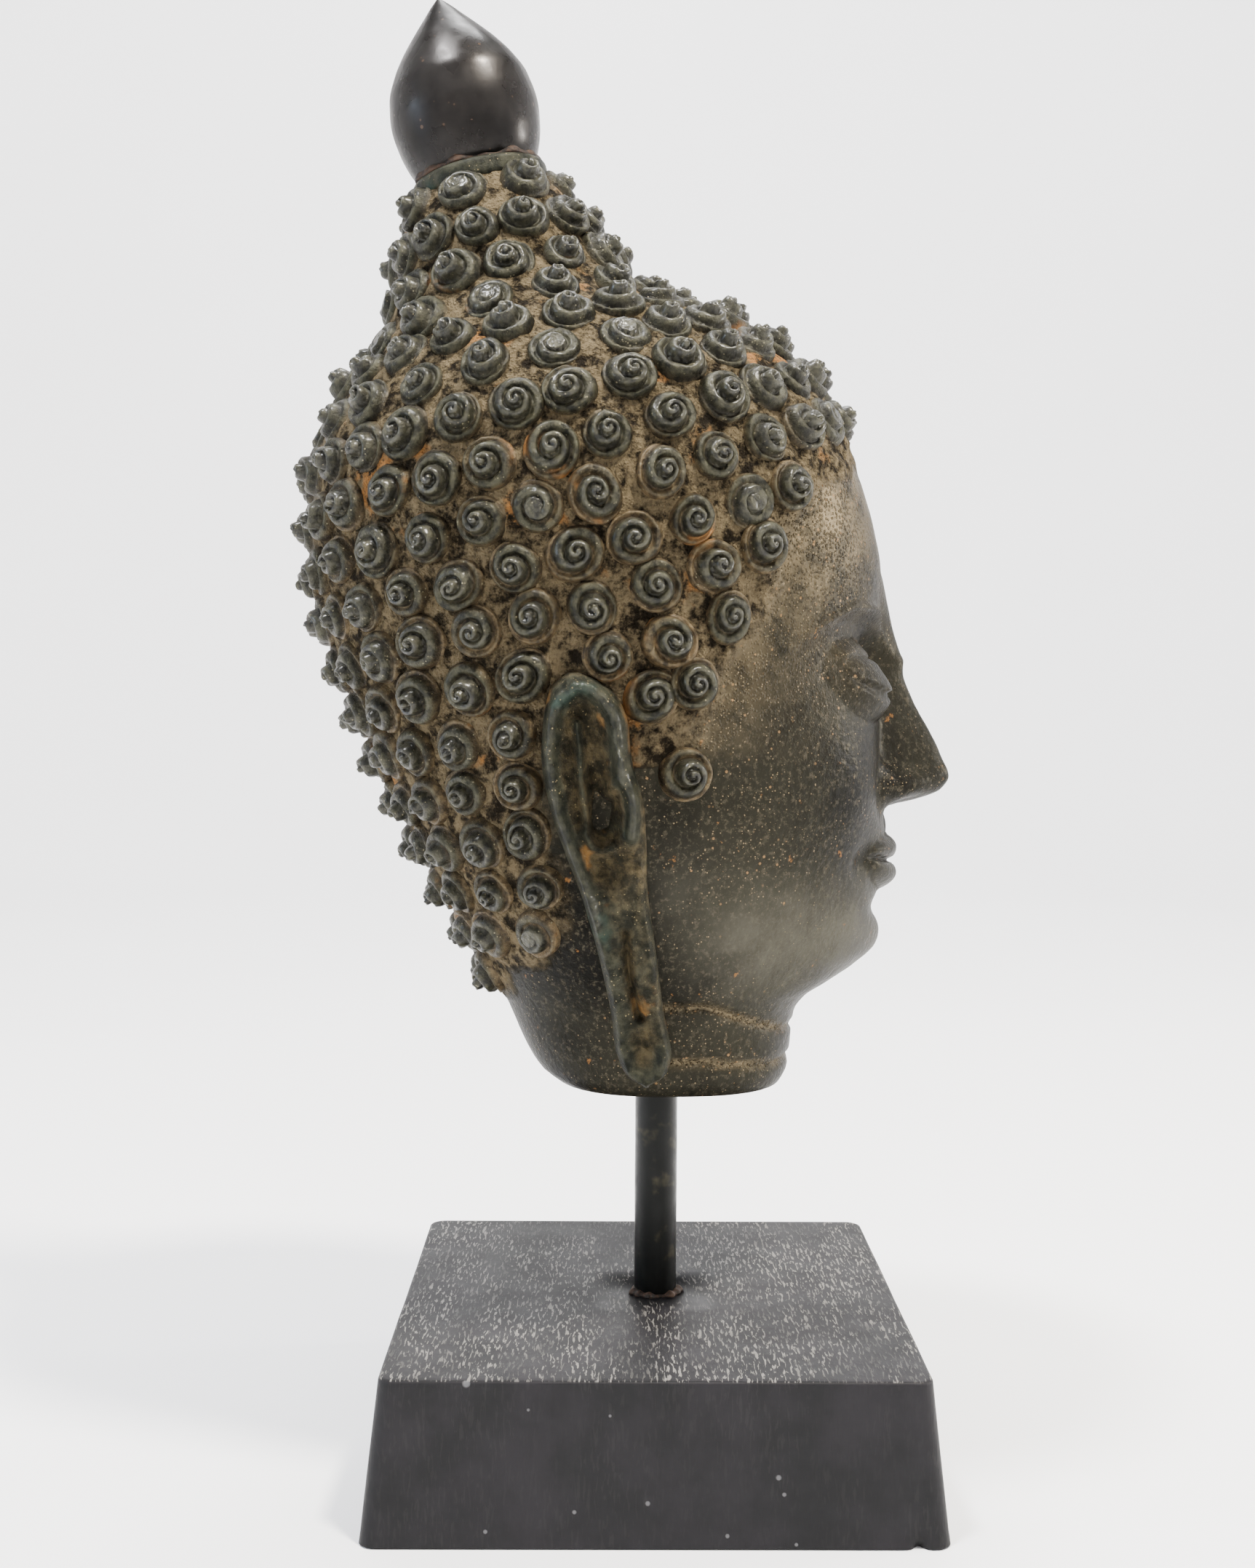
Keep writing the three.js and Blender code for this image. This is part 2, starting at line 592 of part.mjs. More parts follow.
function earGeometry(side) {
  const rootDepth = 3;
  const rings = EAR_LEVELS.map((level) => {
    const middle = earMiddle(level);
    const half = earHalfWidth(level);
    const root = (share) => {
      const along = middle + half * share;
      return [sideSkin(along, level) - rootDepth, along];
    };
    const outer = EAR_ACROSS.map((across) => {
      const along = middle + half * across;
      const rise = Math.abs(across) === 1 ? 0 : earRelief(across, level) / UNIT;
      return [sideSkin(along, level) + earStandOff(level) + rise, along];
    });
    return [root(-0.7), root(0.7), ...outer.reverse()]
      .map(([x, y]) => new THREE.Vector3(side * x, y, level).multiplyScalar(UNIT));
  });
  return ringStack(side > 0 ? rings : rings.map((ring) => ring.reverse()));
}

// A shape turned about +Z from a profile of [radius, height]
function turned(profile, sides) {
  return new THREE.LatheGeometry(profile.map(([r, z]) => new THREE.Vector2(r, z)), sides)
    .rotateX(Math.PI / 2);
}

// Booleans on closed meshes
const WELD = 0.002;

function solidOf(geometry) {
  const bare = geometry.clone();
  bare.deleteAttribute('normal');
  bare.deleteAttribute('uv');
  const merged = mergeVertices(bare, 1e-4);
  return new wasm.Manifold(new wasm.Mesh({
    numProp: 3,
    vertProperties: new Float32Array(merged.attributes.position.array),
    triVerts: new Uint32Array(merged.index.array),
  }));
}

// The triangles left once close vertices are one: none collapsed, and no two back to back
function cleanTriangles(position, triangles) {
  const spots = new Map();
  const places = [];
  const spotOf = Array.from({ length: position.length / 3 }, (_, i) => {
    const place = [0, 1, 2].map((axis) => Math.round(position[3 * i + axis] / WELD) * WELD);
    const name = place.map((value) => value.toFixed(4)).join();
    if (!spots.has(name)) {
      spots.set(name, spots.size);
      places.push(...place);
    }
    return spots.get(name);
  });
  const kept = new Map();
  for (let t = 0; t < triangles.length; t += 3) {
    const corners = [0, 1, 2].map((corner) => spotOf[triangles[t + corner]]);
    const name = [...corners].sort((a, b) => a - b).join();
    if (new Set(corners).size < 3) continue;
    if (kept.has(name)) kept.delete(name);
    else kept.set(name, corners);
  }
  return { places, index: [...kept.values()].flat() };
}

function geometryOf(solid) {
  const mesh = solid.getMesh();
  const { places, index } = cleanTriangles(mesh.vertProperties, mesh.triVerts);
  const geometry = new THREE.BufferGeometry();
  geometry.setAttribute('position', new THREE.Float32BufferAttribute(places, 3));
  geometry.setIndex(index);
  geometry.computeVertexNormals();
  return geometry;
}

// Places down the tilted axis of the cranial bump, from its top
function alongTilt(geometry, height) {
  const top = CENTRE.clone().addScaledVector(AXIS, USHNISHA_TOP).multiplyScalar(UNIT);
  return geometry.translate(0, 0, height).rotateX(-TILT).translate(top.x, top.y, top.z);
}

function collarSolid() {
  const bevel = COLLAR_HEIGHT / 4;
  const profile = [[0, -COLLAR_HEIGHT], [COLLAR_RADIUS - bevel, -COLLAR_HEIGHT],
    [COLLAR_RADIUS, -COLLAR_HEIGHT + bevel], [COLLAR_RADIUS, -bevel], [COLLAR_RADIUS - bevel, 0], [0, 0]];
  return solidOf(alongTilt(turned(profile, 24), 0));
}

function seatCutter() {
  const radius = FINIAL_FOOT_RADIUS + CLEARANCE;
  return solidOf(alongTilt(turned([[0, -SEAT_DEPTH], [radius, -SEAT_DEPTH], [radius, 5], [0, 5]], 24), 0));
}

function rodCutter() {
  const radius = ROD_DIAMETER / 2 + CLEARANCE;
  return solidOf(turned([[0, -5], [radius, -5], [radius, ROD_IN_HEAD + CLEARANCE],
    [0, ROD_IN_HEAD + CLEARANCE]], 20));
}

function headGeometry() {
  const centres = curlCentres();
  const curls = [...valleyVertices(centres), ...centres.flatMap(curlVertices)];
  const shell = solidOf(shellGeometry([...curls, ...bareSkinVertices(curls)]));
  const ears = [1, -1].map((side) => solidOf(earGeometry(side)));
  const whole = shell.add(ears[0]).add(ears[1]).add(collarSolid());
  return geometryOf(whole.subtract(seatCutter()).subtract(rodCutter()));
}

// The bud's outline, as shares of its largest radius and height, over a plain foot that fills the seat
function finialGeometry() {
  const foot = FINIAL_FOOT_RADIUS / FINIAL_RADIUS;
  const swell = curveThrough([[0, foot], [0.04, foot + 0.07], [0.1, 0.9], [0.2, 0.965], [0.33, 1],
    [0.48, 0.95], [0.6, 0.82], [0.7, 0.66], [0.8, 0.46], [0.88, 0.29], [0.95, 0.14], [1, 0.02]]);
  const profile = [[0, 0], [FINIAL_FOOT_RADIUS, 0]];
  for (let step = 0; step <= 11; step += 1) {
    const share = (step / 11) ** 1.15;
    profile.push([FINIAL_RADIUS * swell(share), SEAT_DEPTH + FINIAL_HEIGHT * share]);
  }
  profile.push([0, SEAT_DEPTH + FINIAL_HEIGHT]);
  return alongTilt(turned(profile, 20), CLEARANCE - SEAT_DEPTH);
}

function baseOutline(width, height) {
  const points = [];
  const inset = width / 2 - BASE_CORNER_RADIUS;
  for (let corner = 0; corner < 4; corner += 1) {
    for (let step = 0; step <= 3; step += 1) {
      const turn = ((corner + step / 3) * Math.PI) / 2;
      const x = inset * Math.sign(Math.cos((corner + 0.5) * Math.PI / 2));
      const y = inset * Math.sign(Math.sin((corner + 0.5) * Math.PI / 2));
      points.push(new THREE.Vector3(x + BASE_CORNER_RADIUS * Math.cos(turn),
        y + BASE_CORNER_RADIUS * Math.sin(turn), height));
    }
  }
  return points;
}

// The chip out of the block's lower edge, a small wedge
function chipCutter() {
  const deep = CHIP_WIDTH * 0.6;
  const place = -BASE_FOOT_WIDTH / 2;
  const along = place + CHIP_FROM_CORNER;
  const ring = (z, half, reach) => [[-2, -half], [reach, -half * 0.4], [reach, half * 0.4], [-2, half]]
    .map(([x, y]) => new THREE.Vector3(place + x, along + y, z));
  return solidOf(ringStack([ring(-1, CHIP_WIDTH / 2, deep), ring(CHIP_HEIGHT, CHIP_WIDTH / 4, deep / 3)]));
}

function baseGeometry() {
  const bevelTop = BASE_TOP_WIDTH - 2 * BASE_EDGE_BEVEL;
  const lean = (BASE_FOOT_WIDTH - BASE_TOP_WIDTH) / BASE_HEIGHT;
  const block = ringStack([baseOutline(BASE_FOOT_WIDTH, 0),
    baseOutline(BASE_TOP_WIDTH + lean * BASE_EDGE_BEVEL, BASE_HEIGHT - BASE_EDGE_BEVEL),
    baseOutline(bevelTop, BASE_HEIGHT)]);
  const radius = ROD_DIAMETER / 2 + CLEARANCE;
  const floor = BASE_HEIGHT - ROD_IN_BASE;
  const bore = turned([[0, floor], [radius, floor], [radius, BASE_HEIGHT + 5], [0, BASE_HEIGHT + 5]], 20)
    .translate(0, -ROD_FORWARD, 0);
  return geometryOf(solidOf(block).subtract(solidOf(bore)).subtract(chipCutter()));
}

function rodGeometry() {
  const radius = ROD_DIAMETER / 2;
  const foot = BASE_HEIGHT - ROD_IN_BASE + CLEARANCE;
  const top = BASE_HEIGHT + ROD_BARE_LENGTH + ROD_IN_HEAD;
  return turned([[0, foot], [radius, foot], [radius, top], [0, top]], 20);
}

function piece(name, geometry, finish) {
  const mesh = new THREE.Mesh(geometry, new THREE.MeshStandardMaterial(finish));
  mesh.name = name;
  return mesh;
}

const carried = new THREE.Group();
carried.position.set(0, -ROD_FORWARD, BASE_HEIGHT + ROD_BARE_LENGTH);
carried.add(piece('head', headGeometry(), { color: 0x4a4a3c, roughness: 0.55, metalness: 0.6 }));
carried.add(piece('finial', finialGeometry(), { color: 0x1c1917, roughness: 0.35, metalness: 0.5 }));

const rod = piece('rod', rodGeometry(), { color: 0x14151a, roughness: 0.4, metalness: 0.3 });
rod.position.set(0, -ROD_FORWARD, 0);

const stand = new THREE.Group();
stand.add(piece('base', baseGeometry(), { color: 0x1d1b22, roughness: 0.5, metalness: 0 }), rod, carried);

export default stand;
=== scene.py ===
import math

import bmesh
import bpy
import numpy as np
from mathutils import Matrix, Vector


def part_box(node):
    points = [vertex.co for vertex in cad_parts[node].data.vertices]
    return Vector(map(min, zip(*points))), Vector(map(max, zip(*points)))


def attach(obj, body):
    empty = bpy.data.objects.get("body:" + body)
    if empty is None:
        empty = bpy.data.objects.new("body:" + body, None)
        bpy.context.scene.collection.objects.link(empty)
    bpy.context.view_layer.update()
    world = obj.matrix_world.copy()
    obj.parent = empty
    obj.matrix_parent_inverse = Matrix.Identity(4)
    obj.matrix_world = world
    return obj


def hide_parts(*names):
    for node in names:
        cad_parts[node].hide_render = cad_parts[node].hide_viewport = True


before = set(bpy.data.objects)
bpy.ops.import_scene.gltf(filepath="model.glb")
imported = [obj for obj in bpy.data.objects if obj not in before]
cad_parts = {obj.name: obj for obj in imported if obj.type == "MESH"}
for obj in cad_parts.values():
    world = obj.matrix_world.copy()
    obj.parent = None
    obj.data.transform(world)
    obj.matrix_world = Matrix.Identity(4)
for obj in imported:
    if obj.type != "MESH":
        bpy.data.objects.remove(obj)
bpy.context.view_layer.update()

# Driving sizes, metres
HEAD_HEIGHT = 0.2325
USHNISHA_TILT = math.radians(13)
CURL_RADIUS = 0.0074
CURL_HEIGHT = 0.0074
ROW_PITCH = 0.0142
CURL_PITCH = 0.0166
EAR_RELIEF = 0.008
COLLAR_RADIUS = 0.0206
COLLAR_HEIGHT = 0.006
FINIAL_FOOT_RADIUS = 0.0172
FINIAL_RADIUS = 0.0224
FINIAL_HEIGHT = 0.0533
CLEARANCE = 0.0003
BASE_TOP_WIDTH = 0.150
BASE_CORNER_RADIUS = 0.0045
ROD_SINK = 0.0297

# Places read from the frame
head_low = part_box("head")[0]
rod_low, rod_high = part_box("rod")
base_low, base_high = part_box("base")
NECK_CUT = head_low[2]
ROD_Y = (rod_low[1] + rod_high[1]) / 2
ROD_RADIUS = (rod_high[0] - rod_low[0]) / 2
BASE_HEIGHT = base_high[2]
BASE_FOOT_WIDTH = base_high[0] - base_low[0]
BASE_LEAN = (BASE_FOOT_WIDTH - BASE_TOP_WIDTH) / BASE_HEIGHT / 2

# The head's free form is set out in hundredths of its height, from the rod's axis and the neck cut
UNIT = HEAD_HEIGHT / 100
CENTRE = np.array([0, 9.7, 54.8])
AXIS = np.array([0, math.sin(USHNISHA_TILT), math.cos(USHNISHA_TILT)])
USHNISHA_TOP = 63.2
CROWN_LEVEL = 100
RAY_LIMIT = 75
SKIN_BEND = 36
FILLET = 4.5


# Small tools

def curve_through(stations):
    """A smooth curve through [place, value] stations that never overshoots them."""
    places, values = np.array(stations, float).T
    steps = np.diff(values) / np.diff(places)
    product, total = steps[:-1] * steps[1:], steps[:-1] + steps[1:]
    inner = np.where(product > 0, 2 * product / np.where(product > 0, total, 1), 0)
    slopes = np.concatenate([[steps[0]], inner, [steps[-1]]])

    def curve(place):
        place = np.clip(place, places[0], places[-1])
        i = np.clip(np.searchsorted(places, place) - 1, 0, len(steps) - 1)
        width = places[i + 1] - places[i]
        t = (place - places[i]) / width
        bend = t * t * (3 - 2 * t)
        swing = width * t * (1 - t)
        level = values[i] * (1 - bend) + values[i + 1] * bend
        return level + swing * (slopes[i] * (1 - t) - slopes[i + 1] * t)

    return curve


def bell(value, middle, width):
    return np.exp(-(((value - middle) / width) ** 2))


def ramp(value, low, high):
    t = np.clip((value - low) / (high - low), 0, 1)
    return t * t * (3 - 2 * t)


def lattice_noise(points, size, seed):
    """Smooth noise from -1 to 1 on a cubic lattice of the given size."""
    scaled = points / size + seed * 17.13
    cell = np.floor(scaled)
    t = scaled - cell
    t = t * t * (3 - 2 * t)
    total = 0
    for corner in range(8):
        offset = np.array([corner & 1, corner >> 1 & 1, corner >> 2 & 1])
        weight = np.prod(np.where(offset, t, 1 - t), axis=-1)
        wave = np.sin((cell + offset) @ np.array([127.1, 311.7, 74.7])) * 43758.5453
        total = total + weight * (wave - np.floor(wave))
    return total * 2 - 1


def rough_noise(points, size, seed, octaves=3):
    total, strength = 0, 1
    for octave in range(octaves):
        total = total + strength * lattice_noise(points, size / 2 ** octave, seed + octave)
        strength *= 0.5
    return total


def unit(vectors):
    return vectors / np.linalg.norm(vectors, axis=-1, keepdims=True)


def ring_turns(count):
    return 2 * math.pi * np.arange(count) / count


# Level sections of the neck, face and skull: foremost, rearmost and side reach at each level
front_reach = curve_through([[0, -16.1], [1.5, -16.9], [5.4, -17.4], [8.8, -17.9], [11, -19.6],
                             [12.7, -22.4], [14.4, -24.7], [17, -26.5], [20.9, -27.1], [28.2, -28],
                             [35.5, -28.6], [43.7, -28.6], [57.4, -28.2], [63.9, -28], [71.6, -26.9],
                             [79.4, -24.7], [85.4, -21.9], [92.3, -15.5], [96, -10.3], [98.3, -3.7],
                             [100, 6]])
back_reach = curve_through([[0, 13.5], [1.5, 15.5], [4.5, 17.4], [9.7, 19.8], [15.1, 22.8], [30.5, 31.2],
                            [43.7, 37.2], [57, 42.6], [70.8, 44.7], [78.1, 44.3], [84.9, 41.5],
                            [91.4, 36.8], [95.3, 32.3], [97.8, 27.1], [100, 19.4]])
side_reach = curve_through([[0, 17.6], [1.5, 18.7], [4.5, 19.5], [9.7, 20.6], [13.5, 22.2], [20, 24.9],
                            [28, 26.9], [35.5, 28.2], [52.7, 29.3], [73.8, 30.1], [80, 29.5],
                            [85.4, 27.9], [89.7, 25.5], [93.5, 21.9], [96.6, 18.1], [100, 7.7]])
widest_place = curve_through([[0, 0], [9.7, 0.4], [20, 2.6], [35, 5.2], [52.7, 8.6], [73.8, 12],
                              [100, 14]])
front_squareness = curve_through([[0, 2.7], [9.7, 2.3], [15, 1.95], [35, 1.95], [60, 2.05], [79, 2.2],
                                  [100, 2]])
back_squareness = curve_through([[0, 2.4], [15, 2.1], [52, 2.15], [100, 2]])
ushnisha_radius = curve_through([[1.3, 7.7], [4.7, 9.9], [7.3, 11.2], [11.2, 12.9], [15, 14.4],
                                 [18.5, 16.3], [24, 18.2]])


def section_share(along, level):
    """A place's distance from a section's widest place, as a share of the reach, and the curve's power."""
    middle = widest_place(level)
    ahead = along < middle
    depth = np.where(ahead, middle - front_reach(level), back_reach(level) - middle)
    power = np.where(ahead, front_squareness(level), back_squareness(level))
    return np.abs(along - middle) / depth, power


def inside_skull(points):
    level = points[..., 2]
    along, power = section_share(points[..., 1], level)
    across = np.abs(points[..., 0]) / side_reach(level)
    return (across ** power + along ** power < 1) & (level <= CROWN_LEVEL)


def inside_ushnisha(points):
    from_centre = points - CENTRE
    height = from_centre @ AXIS
    below = USHNISHA_TOP - height
    radius = np.sqrt(np.maximum(0, (from_centre ** 2).sum(-1) - height ** 2))
    return (below > 1.3) & (radius < ushnisha_radius(below))


def ray_reach(origins, directions, is_inside):
    near = np.zeros(directions.shape[:-1])
    far = np.full(directions.shape[:-1], float(RAY_LIMIT))
    for _ in range(28):
        middle = (near + far) / 2
        hit = is_inside(origins + directions * middle[..., None])
        near, far = np.where(hit, middle, near), np.where(hit, far, middle)
    return near


def skin_point(directions):
    """The bare skin in each direction from the head's centre."""
    reach = ray_reach(CENTRE, directions, inside_skull)
    high = directions @ AXIS > 0.8
    if high.any():
        bump = ray_reach(CENTRE, directions[high], inside_ushnisha)
        blend = np.maximum(FILLET - np.abs(bump - reach[high]), 0) / FILLET
        reach[high] = np.maximum(bump, reach[high]) + blend * blend * FILLET / 4
    down = np.where(directions[..., 2] < 0, -directions[..., 2], 1e-9)
    reach = np.minimum(reach, CENTRE[2] / down)
    return CENTRE + directions * reach[..., None]


def tangents(normals):
    side = unit(np.cross([0, 0, 1], normals))
    return side, np.cross(normals, side)


def skin_normal(points):
    directions = unit(points - CENTRE)
    side, rise = tangents(directions)
    nudge = 0.02
    east, west, up, down = (skin_point(unit(directions + step)) for step in
                            (side * nudge, -side * nudge, rise * nudge, -rise * nudge))
    return unit(np.cross(east - west, up - down))


def side_skin(along, level):
    """The head's side at a place along it."""
    share, power = section_share(along, level)
    return side_reach(level) * (1 - np.minimum(1, share) ** power) ** (1 / power)


def placed(points):
    """From hundredths of the head's height to metres in the frame."""
    return points * UNIT + np.array([0, ROD_Y, NECK_CUT])


# Where hair and ears lie
hair_edge = curve_through([[9.6, 40], [10.4, 19.4], [14, 18.3], [17, 14], [20.4, 12.3], [25.6, 11.8],
                           [32.5, 13.1], [38.5, 14], [40.6, 14.4], [41.2, -1], [43, -3.4], [46.7, -4.3],
                           [53.5, -7.7], [60, -11.2], [65.2, -13.7], [71.2, -16], [74.2, -18.5],
                           [76.3, -23], [79.4, -26.5], [79.8, -90]])
EAR_FOOT = 2.1
EAR_CROWN = 51.8
ear_middle = curve_through([[EAR_FOOT, 1.8], [4.8, 1.95], [8.4, 2.5], [14.5, 3.5], [20.5, 4.6],
                            [25.5, 5.7], [31, 6.85], [36.7, 8], [42.5, 9.15], [46.4, 9.25], [49.4, 9.7],
                            [EAR_CROWN, 10.6]])
ear_half_width = curve_through([[EAR_FOOT, 0.6], [2.9, 2.1], [4.8, 3.1], [6.6, 3.42], [11, 3.2],
                                [17.4, 3.4], [25.5, 3.9], [31, 4.8], [36.7, 5.5], [42.5, 5.2],
                                [46.4, 4.85], [49.4, 3.8], [50.7, 2.6], [EAR_CROWN, 0.6]])
ear_stand_off = curve_through([[EAR_FOOT, 1.6], [9, 1.4], [20, 0.9], [30, 0.6], [EAR_CROWN, 0.7]])


def inside_ear(points, margin):
    level = points[..., 2]
    near = np.abs(points[..., 1] - ear_middle(level)) < ear_half_width(level) + margin
    return near & (level > EAR_FOOT - margin) & (level < EAR_CROWN + margin)


def is_hair(points):
    level = points[..., 2]
    return (level >= 9.6) & (points[..., 1] > hair_edge(level)) & ~inside_ear(points, 0.5)


# Rows of curls, each a level line of distance from the collar measured down the skin
MERIDIANS = 120
POLAR_STEPS = 110
POLAR_START = 0.115
POLAR_END = 2.95


def scatter(index, salt):
    """A fixed draw from -1 to 1 for each index."""
    wave = np.sin(index * 12.9898 + salt * 78.233) * 43758.5453
    return (wave - np.floor(wave)) * 2 - 1


def meridian_table():
    turn = ring_turns(MERIDIANS)[:, None]
    polar = np.linspace(POLAR_START, POLAR_END, POLAR_STEPS + 1)[None, :]
    forward = np.array([0, -AXIS[2], AXIS[1]])
    sideways = np.array([-1, 0, 0])
    directions = (AXIS * np.cos(polar)[..., None]
                  + forward * (np.sin(polar) * np.cos(turn))[..., None]
                  + sideways * (np.sin(polar) * np.sin(turn))[..., None])
    points = skin_point(directions)
    legs = np.linalg.norm(np.diff(points, axis=1), axis=-1)
    lengths = np.concatenate([np.zeros((MERIDIANS, 1)), np.cumsum(legs, axis=1)], axis=1)
    return points, lengths


def row_points(points, lengths, distance):
    row = []
    for places, length in zip(points, lengths):
        p = int(np.clip(np.searchsorted(length, distance), 1, POLAR_STEPS))
        share = min(1, (distance - length[p - 1]) / (length[p] - length[p - 1]))
        row.append(places[p - 1] * (1 - share) + places[p] * share)
    return np.array(row)


def even_steps(points, step):
    steps = []
    for here, after in zip(points, np.roll(points, -1, axis=0)):
        count = max(1, int(math.floor(np.linalg.norm(after - here) / step + 0.5)))
        for j in range(count):
            steps.append(here + (after - here) * j / count)
    return np.array(steps)


def curl_fits(points, radius):
    side, rise = tangents(unit(points - CENTRE))
    fits = np.ones(len(points), bool)
    for corner in range(8):
        turn = math.pi * corner / 4
        fits &= is_hair(points + radius * (side * math.cos(turn) + rise * math.sin(turn)))
    return fits


def hair_stretches(steps, radius):
    """Stretches of a row on which curls fit; a row that is all hair is one closed stretch."""
    fits = curl_fits(steps, radius)
    if fits.all():
        return [(True, steps)]
    gap = int(np.argmin(fits))
    stretches, places = [], []
    for i in range(1, len(steps) + 1):
        at = (gap + i) % len(steps)
        if fits[at]:
            places.append(steps[at])
        elif places:
            stretches.append((False, np.array(places)))
            places = []
    return stretches


# The lone curl in front of each ear: its place along the head and its level
LONE_CURL = (-2.5, 40.1)


def curl_centres():
    radius = CURL_RADIUS * 0.9 / UNIT
    pitch = CURL_PITCH / UNIT
    step = 0.4
    points, lengths = meridian_table()
    centres = []
    distance, row = radius * 1.25, 0
    while distance < lengths.max():
        steps = even_steps(row_points(points, lengths, distance), step)
        for closed, places in hair_stretches(steps, radius):
            whole = math.floor(len(places) * step / pitch + 0.5)
            count = whole if closed else max(1, whole + 1)
            for i in range(count):
                share = (i + (row % 2) / 2) / count if closed else i / max(1, count - 1)
                share = 0.5 if count == 1 and not closed else share
                place = places[min(len(places) - 1, math.floor(share * len(places)))]
                if all(np.linalg.norm(other - place) > radius * 1.7 for other in centres):
                    centres.append(place)
        distance += ROW_PITCH / UNIT
        row += 1
    along, level = LONE_CURL
    reach = float(side_skin(np.array(along), np.array(level)))
    return np.array(centres + [[reach, along, level], [-reach, along, level]])


# Levels of the face by thirds: chin, foot of the nose, brow, hairline
CHIN = 13.5
THIRD = 21.95
NOSE_FOOT = CHIN + THIRD
BROW = NOSE_FOOT + THIRD
MOUTH = NOSE_FOOT - THIRD / 3
EYE_LEVEL = BROW - THIRD / 4
EYE_WIDTH = 11.2
MOUTH_HALF_WIDTH = 10.2

# Soft masses of the face: rise, place across, level, width and height of each
FACE_MASSES = [
    (1.7, 16, 39, 8, 8.5),
    (2.0, 0, CHIN + 4.2, 6, 4),
    (0.9, 9, CHIN + 6, 7, 5),
    (-1.1, 0, MOUTH - 6, 5.6, 1.5),
    (1.7, 0, MOUTH, 9.5, 6.5),
    (-0.8, 11.6, MOUTH + 0.6, 1.7, 1.8),
    (0.8, 0, BROW + 9, 14, 9),
    (-2.1, 5.4, EYE_LEVEL + 1.6, 2.7, 3.2),
    (2.6, 5.3, NOSE_FOOT + 2.6, 2.1, 2.3),
    (-0.9, 7.9, NOSE_FOOT + 2.2, 1.2, 2.4),
    (-1.5, 2.9, NOSE_FOOT + 0.1, 1.3, 0.8),
    (-0.5, 0, NOSE_FOOT - 2.4, 1.1, 1.8),
    (0.3, 1.9, NOSE_FOOT - 2.6, 0.7, 1.7),
]
nose_rise = curve_through([[NOSE_FOOT - 1.3, 0], [NOSE_FOOT - 0.4, 1.2], [NOSE_FOOT + 0.5, 5],
                           [NOSE_FOOT + 1.8, 8.3], [NOSE_FOOT + 3.6, 9.5], [NOSE_FOOT + 6, 8.6],
                           [NOSE_FOOT + 10, 6.9], [NOSE_FOOT + 15, 4.8], [BROW - 3, 3.4],
                           [BROW + 1, 2], [BROW + 8, 0]])
nose_width = curve_through([[NOSE_FOOT - 1, 6.2], [NOSE_FOOT + 2, 6.4], [NOSE_FOOT + 6, 5.2],
                            [NOSE_FOOT + 15, 3.9], [BROW - 2, 4.2], [BROW + 6, 7]])
brow_line = curve_through([[1.6, BROW - 3.4], [3.4, BROW - 0.6], [6, BROW + 1.2], [10, BROW + 2.7],
                           [14, BROW + 2.8], [18, BROW + 1.4], [23, BROW - 2.4]])


def eye_relief(across, level):
    """Socket, eyeball, heavy upper lid with its crease, the lowered slit and the lower lid."""
    below = brow_line(across) - level
    socket = -1.9 * ramp(below, -0.25, 2.4) * (1 - ramp(below, 5.5, 11)) * bell(across, 10.5, 9.5)
    wide = (across - EYE_WIDTH) / (EYE_WIDTH / 2 + 0.3)
    lens = np.sqrt(np.maximum(0, 1 - wide * wide))
    tilt = 0.12 * (across - EYE_WIDTH)
    middle = EYE_LEVEL - 0.6 + tilt
    ball = 1 - ((across - EYE_WIDTH) / 7.4) ** 2 - ((level - middle) / 5.2) ** 2
    globe = 2.2 * np.maximum(0, ball) ** 0.7
    lid = middle - 1.3 * lens + 0.5 * np.abs(wide)
    floor = middle - 2.5 * lens + 0.5 * np.abs(wide)
    inside = ramp(lens, 0.05, 0.3)
    upper = 0.8 * ramp(level, lid - 0.1, lid + 0.16) * (1 - ramp(level, middle + 2.4, middle + 4.4))
    lower = 0.4 * (1 - ramp(level, floor - 0.16, floor + 0.1)) * ramp(level, floor - 2.2, floor - 0.4)
    crease = -0.7 * bell(level, middle + 2.7 * lens + 0.3, 0.4)
    return socket + globe + (upper + lower + crease) * inside


def lip_relief(across, level):
    reach = np.minimum(1, across / MOUTH_HALF_WIDTH)
    full = np.sqrt(1 - reach * reach)
    parting = MOUTH + 1.1 * reach ** 2.5 - 0.35 * bell(across, 0, 1.6)
    bow = 3.2 * full ** 0.8 - 0.55 * bell(across, 0, 1.3) + 0.35 * bell(across, 2.6, 1.5)
    tall = np.where(level > parting, bow, 4.0 * full ** 0.7) + 1e-9
    share = np.clip(np.abs(level - parting) / tall, 0, 1)
    swell = np.where(level > parting, 2.7, 3.3)
    seam = -0.5 * bell(level, parting, 0.3) * ramp(full, 0, 0.3)
    return swell * full ** 0.6 * np.sqrt(share) * (1 - share ** 2.4) + seam


def face_relief(points):
    """How far the face stands forward of the plain sections."""
    across, level = np.abs(points[..., 0]), points[..., 2]
    relief = 0
    for rise, place, height, wide, tall in FACE_MASSES:
        relief = relief + rise * bell(across, place, wide) * bell(level, height, tall)
    share = np.minimum(1, across / nose_width(level))
    relief = relief + nose_rise(level) * (1 - share * share) ** 1.7
    brow = 0.8 * bell(level, brow_line(across) + 0.2, 0.6) * bell(across, 11, 9)
    relief = relief + brow + eye_relief(across, level) + lip_relief(across, level)
    return relief * ramp(-points[..., 1], 5, 13)


def neck_creases(points):
    """Where the two soft folds run round the front of the neck."""
    y, level = points[..., 1], points[..., 2]
    high = bell(level, 11.6 + 0.4 * np.minimum(0, y + 5.6), 0.5)
    low = bell(level, 4.6 + 0.12 * np.minimum(0, y + 4.7), 0.45)
    return (high + low) * ramp(-y, -3, 3)


# Building meshes

